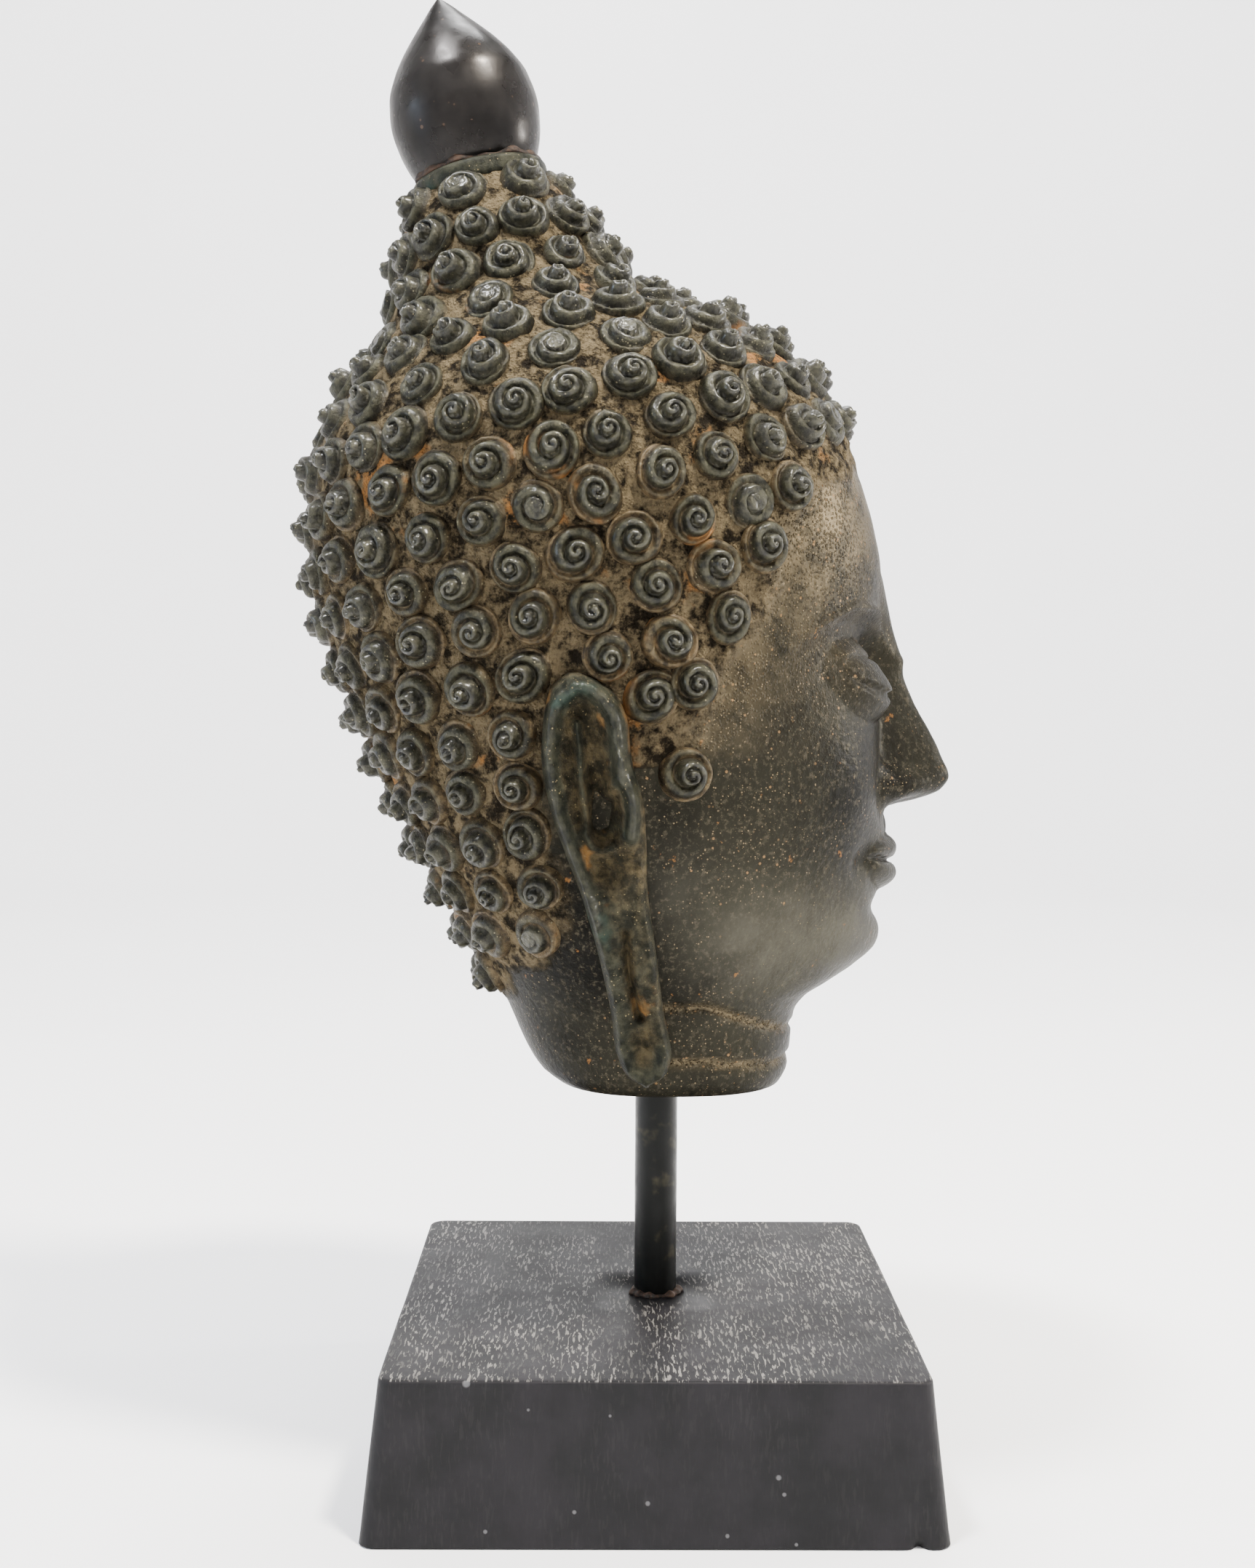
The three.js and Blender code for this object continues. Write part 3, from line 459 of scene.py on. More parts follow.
def grid_faces(rows, columns):
    """Quads over rows of points, each row a ring."""
    row = np.arange(rows - 1)[:, None] * columns
    here = np.arange(columns)[None, :]
    after = (here + 1) % columns
    return np.stack([row + here, row + after, row + columns + after, row + columns + here],
                    axis=-1).reshape(-1, 4)


def cap_faces(start, columns, centre, flip):
    ring = np.arange(columns)
    here, after = start + ring, start + (ring + 1) % columns
    pair = (after, here) if flip else (here, after)
    return np.stack([np.full(columns, centre), *pair], axis=-1)


def closed_rings(rings):
    """Points and faces of a closed skin over rings of points, with a fan over each end."""
    rows, columns = rings.shape[:2]
    count = rows * columns
    everything = np.concatenate([rings.reshape(-1, 3), [rings[0].mean(0)], [rings[-1].mean(0)]])
    faces = [grid_faces(rows, columns), cap_faces(0, columns, count, True),
             cap_faces(count - columns, columns, count + 1, False)]
    return everything, faces


def smooth_mesh(name, points, faces, material):
    mesh = bpy.data.meshes.new(name)
    mesh.from_pydata(points.tolist(), [], [f for group in faces for f in group.tolist()])
    mesh.polygons.foreach_set("use_smooth", np.ones(len(mesh.polygons), bool))
    mesh.materials.append(material)
    return mesh


def add_object(name, data):
    added = bpy.data.objects.new(name, data)
    bpy.context.scene.collection.objects.link(added)
    return added


def make_piece(name, points, faces, material, replaced=None, attributes=None):
    mesh = smooth_mesh(name, points, faces, material)
    for key, values in (attributes or {}).items():
        layer = mesh.attributes.new(key, "FLOAT", "POINT")
        layer.data.foreach_set("value", np.asarray(values, np.float32))
    shell = bmesh.new()
    shell.from_mesh(mesh)
    bmesh.ops.recalc_face_normals(shell, faces=shell.faces)
    shell.to_mesh(mesh)
    shell.free()
    piece = add_object(name, mesh)
    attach(piece, "root")
    if replaced:
        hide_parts(replaced)


# The head's mesh: its columns are closer together over the face and ears, which reach this many degrees
# to each side, and its rows change their spacing at a level of the neck and at a rise of the crown
FACE_HALF_ANGLE = 68
FACE_COLUMNS = 232
BACK_COLUMNS = 92
NECK_BAND = 10
CROWN_RISE = math.radians(48)
LAST_RISE = math.radians(83.5)
NECK_ROWS, FACE_ROWS, CROWN_ROWS, BUMP_ROWS = 16, 135, 92, 44
SOCKET_DEPTH = 9


def head_rings(turns):
    """Rings of the bare head: on level rays up to the centre's level, then on rising ones to the pole."""
    low_levels = np.concatenate([np.linspace(0, NECK_BAND, NECK_ROWS)[:-1],
                                 np.linspace(NECK_BAND, CENTRE[2], FACE_ROWS)[:-1]])
    rises = np.concatenate([np.linspace(0, CROWN_RISE, CROWN_ROWS)[:-1],
                            np.linspace(CROWN_RISE, LAST_RISE, BUMP_ROWS)])
    flat = np.stack([np.sin(turns), -np.cos(turns), np.zeros_like(turns)], axis=-1)
    shift = CENTRE[1] * ramp(low_levels, -20, CENTRE[2])
    low_origins = np.stack([np.zeros_like(low_levels), shift, low_levels], axis=-1)[:, None, :]
    reach = ray_reach(low_origins, np.broadcast_to(flat, (len(low_levels), *flat.shape)), inside_skull)
    low = low_origins + flat * reach[..., None]
    tilt = USHNISHA_TILT * rises / math.radians(90)
    across = np.cos(rises)[:, None] * np.sin(turns)
    ahead = -np.cos(rises)[:, None] * np.cos(turns)
    up = np.broadcast_to(np.sin(rises)[:, None], ahead.shape)
    cos_tilt, sin_tilt = np.cos(tilt)[:, None], np.sin(tilt)[:, None]
    high = np.stack([across, ahead * cos_tilt + up * sin_tilt, up * cos_tilt - ahead * sin_tilt], axis=-1)
    return np.concatenate([low, skin_point(high)])


def make_head(material):
    fine = np.linspace(-FACE_HALF_ANGLE, FACE_HALF_ANGLE, FACE_COLUMNS)
    coarse = np.linspace(FACE_HALF_ANGLE, 360 - FACE_HALF_ANGLE, BACK_COLUMNS)[1:-1]
    turns = np.radians(np.concatenate([fine, coarse]))
    points = head_rings(turns)
    columns = points.shape[1]
    level = points[..., 2]
    behind = points[..., 1] - hair_edge(level)
    wander = lattice_noise(points, 4.5, 12) * 1.6 + lattice_noise(points, 1.8, 13)
    hair = ramp(behind + wander, -1.2, 2.2) * ramp(level, 9.0, 10.6)
    hair = hair * np.where(inside_ear(points, 0.3), 0.4, 1)
    film = 0.62 * np.exp(-np.maximum(0, -behind) / 6) * ramp(level, 36, 50)
    film = film + 0.85 * bell(points[..., 1], -19, 8) * bell(level, 73, 11)
    # Lighter jaw and lower cheek: partly the bronze's paler tone, partly a painted highlight where light
    # falls on the smooth jaw
    pale_tone_and_highlight = bell(level, 19, 7) * ramp(-points[..., 1], 0, 12)
    pale_tone_and_highlight = pale_tone_and_highlight + 0.35 * bell(level, 26, 6) * bell(points[..., 1], -2, 5)
    relief = face_relief(points)
    points = points + np.stack([np.zeros_like(relief), -relief, np.zeros_like(relief)], axis=-1)
    folds = neck_creases(points)
    film = film + 0.9 * folds
    grain = rough_noise(points, 1.6, 3) * (0.03 + 0.3 * hair) + 0.25 * hair - 0.7 * folds
    outward = unit(points - np.array([0, CENTRE[1], 0]) - np.array([0, 0, 1]) * points[..., 2:3] * 0.7)
    shaped = points + outward * grain[..., None]
    shaped[0, :, 2] = 0
    socket = (ROD_RADIUS + CLEARANCE) / UNIT
    edge = shaped[0]
    bore = np.stack([socket * np.sin(turns), -socket * np.cos(turns), np.zeros_like(turns)], axis=-1)
    under = [bore + [0, 0, SOCKET_DEPTH]]
    under += [bore + (edge - bore) * share for share in (0, 0.25, 0.5, 0.75)]
    rings = np.concatenate([np.array(under), shaped])
    everything, faces = closed_rings(rings)
    everything[-2] = [0, 0, SOCKET_DEPTH]
    cut = np.zeros(len(under) * columns)
    masks = {key: np.concatenate([cut, values.ravel(), [0, values[-1, 0]]])
             for key, values in (("hair", hair), ("film", film), ("pale_tone_and_highlight", pale_tone_and_highlight))}
    make_piece("head_casting", placed(everything), faces, material, "head", masks)


# Snail curls: turns wound at each share of the radius, and the height of the coil's back after each turn
CURL_RINGS = 27
CURL_SECTORS = 40
coil_turn = curve_through([[0, 2.5], [0.1, 2.25], [0.28, 1.62], [0.56, 0.86], [1, 0]])
coil_height = curve_through([[-2, 0], [-1, 0.26], [0, 0.44], [0.8, 0.76], [1.5, 0.95], [2.5, 1]])
COIL_GROOVE = 0.14


def coil_profile(radius, turn):
    """Height of a snail coil, from 0 at its foot to 1 at its tip, and a mask of the hollows between its
    turns, where shade is painted.
    """
    place = coil_turn(radius)
    phase = place - turn / (2 * math.pi)
    inward = phase - np.floor(phase)
    whorl = place - inward
    top = coil_height(whorl)
    foot = coil_height(whorl - 1) - COIL_GROOVE
    rise = np.sqrt(np.maximum(0, 1 - (1 - np.minimum(1, inward / 0.46)) ** 2))
    fall = COIL_GROOVE * ramp(inward, 0.55, 1.0)
    groove_shade = np.clip(1 - inward / 0.14, 0, 1) + ramp(inward, 0.88, 1.0)
    edge = np.sqrt(np.clip(1 - (np.maximum(0, radius - 0.83) / 0.17) ** 2, 0, 1))
    return (foot + (top - foot) * rise - fall) * edge, np.clip(groove_shade, 0, 1)


def curl_meshes(centres, index):
    """Points, faces and shading values of a set of curls."""
    axes = skin_normal(centres)
    side, rise = tangents(axes)
    stray = 0.32
    centres = (centres + side * stray * scatter(index, 11)[:, None]
               + rise * stray * scatter(index, 12)[:, None])
    size = 1.0 + 0.08 * scatter(index, 1)
    spin = math.pi * scatter(index, 2)
    rings = np.concatenate([[1.04], 1.0 - 0.94 * np.linspace(0, 1, CURL_RINGS - 1)])
    radius, turn = np.meshgrid(rings, ring_turns(CURL_SECTORS), indexing="ij")
    height, groove_shade = coil_profile(np.minimum(1, radius), turn)
    height = np.where(radius > 1, -0.18, height)
    height = np.append(height.ravel(), 1.0)
    groove_shade = np.append(groove_shade.ravel(), 0)
    points, levels, groove_shades, tones = [], [], [], []
    for i, centre in enumerate(centres):
        wound = 1 if scatter(index[i], 9) > -0.6 else -1
        angle = np.append((turn * wound + spin[i]).ravel(), 0)
        big = CURL_RADIUS * size[i] / UNIT
        squash = 1 + 0.07 * scatter(index[i], 5) * np.cos(2 * angle + scatter(index[i], 6) * 3)
        reach = np.append(radius.ravel(), 0) * big * squash
        lift = np.maximum(height, 0)
        lean_side = 0.15 * scatter(index[i], 3) * big * lift
        lean_rise = (0.13 * scatter(index[i], 4) - 0.05) * big * lift
        foot = (centre + side[i] * (reach * np.cos(angle) + lean_side)[:, None]
                + rise[i] * (reach * np.sin(angle) + lean_rise)[:, None])
        worn = 0.7 if scatter(index[i], 10) > 0.84 else 1
        tall = CURL_HEIGHT * size[i] * worn * (1 + 0.1 * scatter(index[i], 7)) / UNIT
        drop = ((foot - centre) ** 2).sum(-1) / (2 * SKIN_BEND)
        place = foot + axes[i] * (np.minimum(height, worn) * tall - drop)[:, None]
        points.append(place)
        levels.append(lift)
        groove_shades.append(groove_shade)
        earthy = ramp(-centre[2], -92, -66) * (0.6 + 0.4 * bell(centre[1], 6, 18))
        tones.append(np.full(len(lift), earthy * (0.75 + 0.25 * scatter(index[i], 8))))
        if wound < 0:
            for values in (points, levels, groove_shades):
                values[-1] = mirrored(values[-1])
    points = np.concatenate(points)
    grain = rough_noise(points, 0.5, 9) * 0.1 + lattice_noise(points, 2.2, 19) * 0.16
    points = points + unit(points - CENTRE) * grain[:, None]
    each = CURL_RINGS * CURL_SECTORS
    body = grid_faces(CURL_RINGS, CURL_SECTORS)
    tip = cap_faces(each - CURL_SECTORS, CURL_SECTORS, each, False)
    faces = []
    for i in range(len(centres)):
        faces += [body + i * (each + 1), tip + i * (each + 1)]
    return points, faces, {"lift": np.concatenate(levels), "groove_shade": np.concatenate(groove_shades),
                           "tone": np.concatenate(tones)}


def mirrored(values):
    """The values of a curl with each ring in reverse, for one that is wound the other way."""
    rings = values[:-1].reshape(CURL_RINGS, CURL_SECTORS, -1)[:, ::-1]
    return np.concatenate([rings.reshape(values[:-1].shape), values[-1:]])


# Where the curls are parted into pieces, which keeps each under the limit of triangles
BUMP_FOOT = 96
CROWN_FOOT = 84
BACK_START = 26


def make_curls(material):
    centres = curl_centres()
    order = np.arange(len(centres))
    across, along, level = centres.T
    low = level <= CROWN_FOOT
    beside = low & (along <= BACK_START)
    groups = {
        "curls_bump": level > BUMP_FOOT,
        "curls_crown": ~low & (level <= BUMP_FOOT),
        "curls_back": low & (along > BACK_START),
        "curls_left": beside & (across > 0),
        "curls_right": beside & (across <= 0),
    }
    for name, chosen in groups.items():
        points, faces, attributes = curl_meshes(centres[chosen], order[chosen])
        make_piece(name, placed(points), faces, material, "head", attributes)


# Ears: relief over a chart of (place along the head, level), from lines and hollows laid on it
HELIX = [(4.6, 39.5), (5.4, 42.5), (5.6, 45.5), (6.7, 48.2), (8.6, 50), (10.4, 50.2), (12, 49),
         (13, 46.5), (13.4, 43), (13.2, 39.5), (12.5, 36), (11.5, 32.8), (10.3, 29.5), (9.1, 26.2),
         (8.1, 23)]
ANTIHELIX = [(10.2, 46), (9.9, 43), (9.75, 40.4), (9.35, 37.1), (9.0, 34.9), (9.1, 33.1), (8.4, 31.7),
             (7.2, 31.1), (6.1, 31.7)]
TRAGUS = [(3.9, 37.6), (3.8, 35.3), (3.9, 33)]
CRUS = [(5.2, 42), (5.8, 39.6), (6.7, 37.8)]
LOBE_SLOT = [(4.45, 21.4), (4.1, 17.5), (3.6, 14), (3.0, 11.6), (2.6, 10.9)]
LOBE_BACK = [(9.1, 26.2), (7.4, 21), (6.0, 15.5), (5.1, 10.5), (4.7, 7.2), (3.9, 4.4), (2.2, 3.2),
             (0.4, 4.1), (-0.4, 6.6)]


def distance_to(line, y, level):
    """Distance from a broken line on the ear's chart."""
    best = np.full(y.shape, 1e9)
    for (y0, z0), (y1, z1) in zip(line, line[1:]):
        dy, dz = y1 - y0, z1 - z0
        t = np.clip(((y - y0) * dy + (level - z0) * dz) / (dy * dy + dz * dz), 0, 1)
        best = np.minimum(best, np.hypot(y - y0 - t * dy, level - z0 - t * dz))
    return best


def ridge(line, y, level, width):
    return bell(distance_to(line, y, level), 0, width)


def ear_relief(y, level):
    """Height of the ear's surface over its base, as a share of its relief."""
    upper = ramp(level, 24, 31)
    bowl = 0.2 + 0.35 * (1 - upper)
    rim = ridge(HELIX, y, level, 1.4) * (1 - bowl)
    front = 0.5 * ridge([(5.6, 41), (5.9, 45)], y, level, 1.5)
    fold = 0.52 * ridge(ANTIHELIX, y, level, 0.62)
    tragus = 0.78 * ridge(TRAGUS, y, level, 1.15)
    crus = 0.38 * ridge(CRUS, y, level, 0.8)
    concha = -0.62 * bell(y, 7.2, 1.7) * bell(level, 36.4, 3.9)
    pits = -0.5 * bell(y, 7.95, 0.65) * bell(level, 34.9, 1.1)
    pits = pits - 0.3 * bell(y, 8.7, 0.55) * bell(level, 39.8, 1.5)
    cup = -0.3 * bell(y, 7.3, 1.6) * bell(level, 29, 1.7)
    slot = -0.45 * ridge(LOBE_SLOT, y, level, 0.5)
    lobe = 0.22 * ridge(LOBE_BACK, y, level, 1.0) * (1 - upper)
    low_cup = -0.2 * bell(y, 2.3, 1.5) * bell(level, 7.6, 2.2)
    edges = np.maximum(rim, front) + fold + tragus + crus + lobe
    return bowl + edges + concha + pits + cup + slot + low_cup


EAR_ROWS = 230
EAR_COLUMNS = 92
EAR_EDGE_RADIUS = 0.85
EAR_ROOT_DEPTH = 3


def make_ear(name, side, material):
    """An ear on one side of the head, -1 or 1, rooted under the skin along both of its edges."""
    sweep = (1 - np.cos(np.linspace(0.02, 0.98, EAR_ROWS) * math.pi)) / 2
    along = EAR_FOOT + (EAR_CROWN - EAR_FOOT) * sweep
    across = -np.cos(np.linspace(0, 1, EAR_COLUMNS) * math.pi)
    level, share = np.meshgrid(along, across, indexing="ij")
    y = ear_middle(level) + ear_half_width(level) * share
    outline = [(ear_middle(z) + s * ear_half_width(z), z) for s, levels in
               ((1, np.linspace(EAR_FOOT, EAR_CROWN, 90)), (-1, np.linspace(EAR_CROWN, EAR_FOOT, 90)))
               for z in levels]
    inward = distance_to(outline, y, level)
    round_off = np.sqrt(np.clip(1 - (1 - np.minimum(1, inward / EAR_EDGE_RADIUS)) ** 2, 0, 1))
    relief = ear_relief(y, level) + 0.07 * rough_noise(np.stack([y, level, y * 0], -1), 1.1, 5)
    rise = (ear_stand_off(level) + relief * EAR_RELIEF / UNIT) * round_off
    x = side_skin(y, level) + rise
    face = np.stack([side * x, y, level], axis=-1)
    root = np.stack([side * (side_skin(y, level) - EAR_ROOT_DEPTH), y, level], axis=-1)
    rings = np.concatenate([root[:, :1], face, root[:, -1:]], axis=1)
    depth = np.pad(relief, ((0, 0), (1, 1)), constant_values=1)
    if side > 0:
        rings, depth = rings[:, ::-1], depth[:, ::-1]
    points, faces = closed_rings(rings)
    make_piece(name, placed(points), faces, material, "head",
               {"ear": np.append(depth.ravel(), [1, 1])})


# Turned pieces on the tilted axis

def tilted(points):
    """Turns metres along +Z into metres along the tilted axis from the top of the cranial bump."""
    top = placed(CENTRE + AXIS * USHNISHA_TOP)
    forward = np.array([0, AXIS[2], -AXIS[1]])
    return top + points[..., 0:1] * [1, 0, 0] + points[..., 1:2] * forward + points[..., 2:3] * AXIS


def turned_points(profile, sectors):
    profile = np.array(profile)
    turns = ring_turns(sectors)
    x = profile[:, :1] * np.cos(turns)
    y = profile[:, :1] * np.sin(turns)
    z = np.broadcast_to(profile[:, 1:], x.shape)
    return np.stack([x, y, z], axis=-1)


def make_collar(material):
    bevel = COLLAR_HEIGHT * 0.3
    corner = np.linspace(0, math.pi / 2, 6)
    profile = [(COLLAR_RADIUS * 0.6, -COLLAR_HEIGHT)]
    inner = COLLAR_RADIUS - bevel
    profile += [(inner + bevel * math.sin(a), -COLLAR_HEIGHT + bevel - bevel * math.cos(a)) for a in corner]
    profile += [(inner + bevel * math.cos(a), -bevel + bevel * math.sin(a)) for a in corner]
    profile += [(FINIAL_FOOT_RADIUS + CLEARANCE, 0), (FINIAL_FOOT_RADIUS + CLEARANCE, -0.0015)]
    rings = turned_points(profile, 120)
    rings = rings + rough_noise(rings * 1000, 4, 21)[..., None] * 0.0002 * unit(rings + 1e-9)
    points, faces = closed_rings(rings)
    bare = {"ear": np.full(len(points), 0.8)}
    make_piece("collar", tilted(points), faces, material, "head", bare)


def make_finial(material):
    foot = FINIAL_FOOT_RADIUS / FINIAL_RADIUS
    swell = curve_through([[0, foot], [0.04, foot + 0.07], [0.1, 0.9], [0.2, 0.965], [0.33, 1],
                           [0.48, 0.95], [0.6, 0.82], [0.7, 0.66], [0.8, 0.46], [0.88, 0.29],
                           [0.95, 0.14], [1, 0.02]])
    shares = np.linspace(0, 1, 70)
    profile = [(FINIAL_FOOT_RADIUS * 0.96, -0.0012)]
    profile += [(FINIAL_RADIUS * float(swell(s)), CLEARANCE + FINIAL_HEIGHT * s) for s in shares]
    points, faces = closed_rings(turned_points(profile, 96))
    make_piece("finial_bud", tilted(points), faces, material, "finial")


def make_rod(material):
    foot, top = BASE_HEIGHT - ROD_SINK, rod_high[2]
    heights = np.concatenate([[foot], np.linspace(BASE_HEIGHT - 0.002, NECK_CUT + 0.002, 90), [top]])
    rings = turned_points([(ROD_RADIUS, z) for z in heights], 64)
    dents = rough_noise(rings * 1000, 9, 31)[..., None] * 0.00004
    rings = rings + dents * unit(rings * [1, 1, 0] + [0, 0, 1e-9])
    rings = rings + np.array([0, ROD_Y, 0])
    points, faces = closed_rings(rings)
    make_piece("steel_rod", points, faces, material, "rod")


def filler_bead(radius, reach, height):
    """An uneven quarter-round bead about the Z axis, standing on the level plane."""
    turns = ring_turns(96)
    wander = 1 + 0.35 * np.sin(3 * turns + 1) + 0.28 * np.sin(7 * turns) + 0.22 * np.sin(13 * turns + 2)
    rings = []
    for share in np.linspace(0, math.pi / 2, 9):
        out = radius + reach * wander * math.sin(share)
        up = 0.0002 + height * (0.3 + 0.7 * wander) * math.cos(share)
        rings.append(np.stack([out * np.cos(turns), out * np.sin(turns), up], axis=-1))
    return np.array(rings)[::-1]


def make_fillers(material):
    """The beads of filler round the rod's foot and round the finial's foot."""
    rings = filler_bead(ROD_RADIUS - 0.0002, 0.0015, 0.0013) + [0, ROD_Y, BASE_HEIGHT - 0.0002]
    points, faces = closed_rings(rings)
    make_piece("rod_filler", points, faces, material)
    points, faces = closed_rings(filler_bead(FINIAL_FOOT_RADIUS - 0.0004, 0.0019, 0.0021))
    make_piece("finial_seam", tilted(points), faces, material)


def block_outline(width):
    """Points round the block, closer together by the chipped corner."""
    half = width / 2
    run = half - BASE_CORNER_RADIUS
    straight = np.linspace(-run, run, 41)
    chipped = np.unique(np.concatenate([straight, np.linspace(0.055, run, 48)]))
    corner = np.linspace(0, math.pi / 2, 9)[1:-1]
    bend = run + BASE_CORNER_RADIUS * np.stack([np.cos(corner), np.sin(corner)], axis=-1)
    sides = []
    for quarter in range(4):
        places = chipped if quarter == 2 else straight
        lane = np.concatenate([np.stack([np.full(len(places), half), places], axis=-1), bend])
        sides.append(lane @ np.linalg.matrix_power(np.array([[0, 1], [-1, 0]]), quarter))
    return np.concatenate(sides)


def make_block(material):
    """The tapered block with softened edges, a slight waver, the rod's hole and a chip by one corner."""
    soft = 0.0011
    shoulder = BASE_HEIGHT - soft
    levels = [(0.0004, 0.0), (0, 0.0004)]
    levels += [(BASE_LEAN * z, z) for z in np.linspace(0.0008, shoulder, 30)]
    levels += [(BASE_LEAN * shoulder + soft * (1 - math.cos(a)), shoulder + soft * math.sin(a))
               for a in np.linspace(0, math.pi / 2, 6)[1:]]
    rings = []
    for inset, z in levels:
        ring = block_outline(BASE_FOOT_WIDTH - 2 * inset)
        rings.append(np.column_stack([ring, np.full(len(ring), z)]))
    edge = rings[-1]
    away = edge[:, :2] - [0, ROD_Y]
    hole = np.column_stack([unit(away) * (ROD_RADIUS + CLEARANCE) + [0, ROD_Y], edge[:, 2]])
    top = [edge * (1 - share) + hole * share for share in (0.03, 0.1, 0.25, 0.5, 0.8, 1)]
    rings = np.concatenate([np.array(rings), top, [hole - [0, 0, 0.004]]])
    wave = rough_noise(rings * 1000, 34, 41)[..., None] * 0.00012
    rings = rings + wave * unit(rings * [1, 1, 0] + [0, 0, 1e-9]) * (rings[..., 2:] > 0.003)
    nick = np.exp(-((rings[..., 1] + 0.0706) / 0.0017) ** 2) * (rings[..., 0] < -0.07)
    rings[..., 0] += 0.0024 * nick * np.clip(1 - rings[..., 2] / 0.0029, 0, 1) ** 0.5
    points, faces = closed_rings(rings)
    make_piece("wood_block", points, faces, material, "base")


# Materials

def srgb(red, green, blue):
    def linear(value):
        value = value / 255
        return value / 12.92 if value <= 0.04045 else ((value + 0.055) / 1.055) ** 2.4
    return linear(red), linear(green), linear(blue), 1.0


class Nodes:
    """Short calls for building one material's node tree."""

    def __init__(self, name):
        self.material = bpy.data.materials.new(name)
        self.material.use_nodes = True
        self.tree = self.material.node_tree
        self.shader = self.tree.nodes["Principled BSDF"]
        self.place = self.tree.nodes.new("ShaderNodeTexCoord").outputs["Object"]

    def feed(self, target, source):
        """Links an output to an input, or sets a constant on the input itself."""
        if isinstance(source, (tuple, float, int)):
            target.default_value = source
        else:
            self.tree.links.new(source, target)

    def node(self, kind, **inputs):
        """A new node with its inputs fed; a space in an input's name is written as an underscore."""
        node = self.tree.nodes.new("ShaderNode" + kind)
        for key, value in inputs.items():
            self.feed(node.inputs[key.replace("_", " ")], value)
        return node

    def noise(self, scale, detail=4, roughness=0.55, stretch=None, distortion=0):
        place = self.place
        if stretch:
            place = self.node("Mapping", Scale=stretch, Vector=place).outputs["Vector"]
        return self.node("TexNoise", Scale=scale, Detail=detail, Roughness=roughness,
                         Distortion=distortion, Vector=place).outputs["Fac"]

    def cells(self, scale):
        return self.node("TexVoronoi", Scale=scale, Vector=self.place).outputs

    def span(self, source, low, high, to_low=0.0, to_high=1.0):
        node = self.node("MapRange", Value=source, From_Min=low, From_Max=high, To_Min=to_low,
                         To_Max=to_high)
        node.interpolation_type = "SMOOTHSTEP"
        return node.outputs["Result"]

    def math(self, operation, first, second):
        node = self.node("Math")
        node.operation = operation
        self.feed(node.inputs[0], first)
        self.feed(node.inputs[1], second)
        return node.outputs["Value"]

    def plus(self, first, second):
        return self.math("ADD", first, second)

    def times(self, first, second):
        return self.math("MULTIPLY", first, second)

    def mix(self, share, first, second):
        node = self.node("Mix")
        node.data_type = "RGBA"
        for key, value in (("Factor", share), ("A", first), ("B", second)):
            self.feed(next(s for s in node.inputs if s.name == key and s.enabled), value)
        return next(s for s in node.outputs if s.enabled)

    def attribute(self, name):
        node = self.node("Attribute")
        node.attribute_name = name
        return node.outputs["Fac"]

    def bump(self, height, strength, distance):
        node = self.node("Bump", Strength=strength, Distance=distance, Height=height)
        self.feed(self.shader.inputs["Normal"], node.outputs["Normal"])

    def set(self, **values):
        for key, value in values.items():
            self.feed(self.shader.inputs[key.replace("_", " ")], value)
        return self.material


def speckled(n, colour, scale, speck, share):
    """Lays fine specks of another colour over a colour, as dense as the share says."""
    cells = n.cells(scale)
    split = n.node("SeparateColor", Color=cells["Color"])
    size = n.span(split.outputs["Green"], 0, 1, 0.1, 0.42)
    spot = n.span(n.math("SUBTRACT", size, cells["Distance"]), 0.0, 0.16)
    chosen = n.span(n.math("SUBTRACT", share, split.outputs["Red"]), 0.0, 0.1)
    return n.mix(n.times(spot, chosen), colour, speck)


def bronze_skin_material():
    n = Nodes("bronze_skin")
    hair, film, pale_tone_and_highlight = n.attribute("hair"), n.attribute("film"), n.attribute("pale_tone_and_highlight")
    cloud = n.noise(16, 5, 0.6)
    mottle = n.noise(85, 6, 0.7)
    skin = n.mix(n.span(cloud, 0.36, 0.64), srgb(11, 11, 9), srgb(33, 32, 26))
    grain = n.noise(620, 5, 0.75)
    skin = n.mix(n.span(grain, 0.5, 0.66, 0, 0.35), skin, srgb(84, 78, 64))
    # Painted highlight, partly a real paler tone: the jaw and lower cheek lightened where the pale mask
    # lies
    pale_tone_and_highlight_share = n.times(pale_tone_and_highlight, n.span(mottle, 0.3, 0.66, 0.4, 0.75))
    skin = n.mix(pale_tone_and_highlight_share, skin, srgb(74, 72, 63))
    filmed = n.times(film, n.span(mottle, 0.34, 0.6, 0.12, 0.75))
    skin = n.mix(filmed, skin, srgb(106, 94, 72))
    dense = n.plus(n.times(film, 0.6), n.span(n.noise(30, 4, 0.6), 0.4, 0.68, 0.06, 0.42))
    skin = speckled(n, skin, 1500, srgb(106, 93, 71), dense)
    skin = speckled(n, skin, 820, srgb(112, 88, 60), n.times(dense, 0.42))
    blots = n.span(n.noise(150, 5, 0.7), 0.66, 0.71)
    skin = n.mix(n.times(blots, 0.45), skin, srgb(142, 98, 54))
    clods = n.noise(210, 6, 0.72)
    scalp = n.mix(n.span(clods, 0.4, 0.6), srgb(28, 24, 18), srgb(106, 94, 72))
    patch = n.times(n.span(n.noise(42, 4, 0.6), 0.6, 0.68, 0, 0.8), n.span(clods, 0.44, 0.56))
    scalp = n.mix(patch, scalp, srgb(146, 100, 54))
    colour = n.mix(hair, skin, scalp)
    raised = n.cells(1000)["Distance"]
    pimples = n.times(n.span(raised, 0.1, 0.5, 1, 0), n.times(film, 1.2))
    fine = n.plus(n.times(n.noise(500, 3, 0.6), 0.4), pimples)
    n.bump(n.plus(fine, n.times(n.times(clods, 5.5), hair)), 1.0, 0.0008)
    rough = n.plus(n.span(cloud, 0.3, 0.7, 0.36, 0.48), n.times(hair, 0.3))
    return n.set(Base_Color=colour, Metallic=0.45, Roughness=rough, Specular_IOR_Level=0.2,
                 Specular_Tint=(0.14, 0.14, 0.13, 1.0))


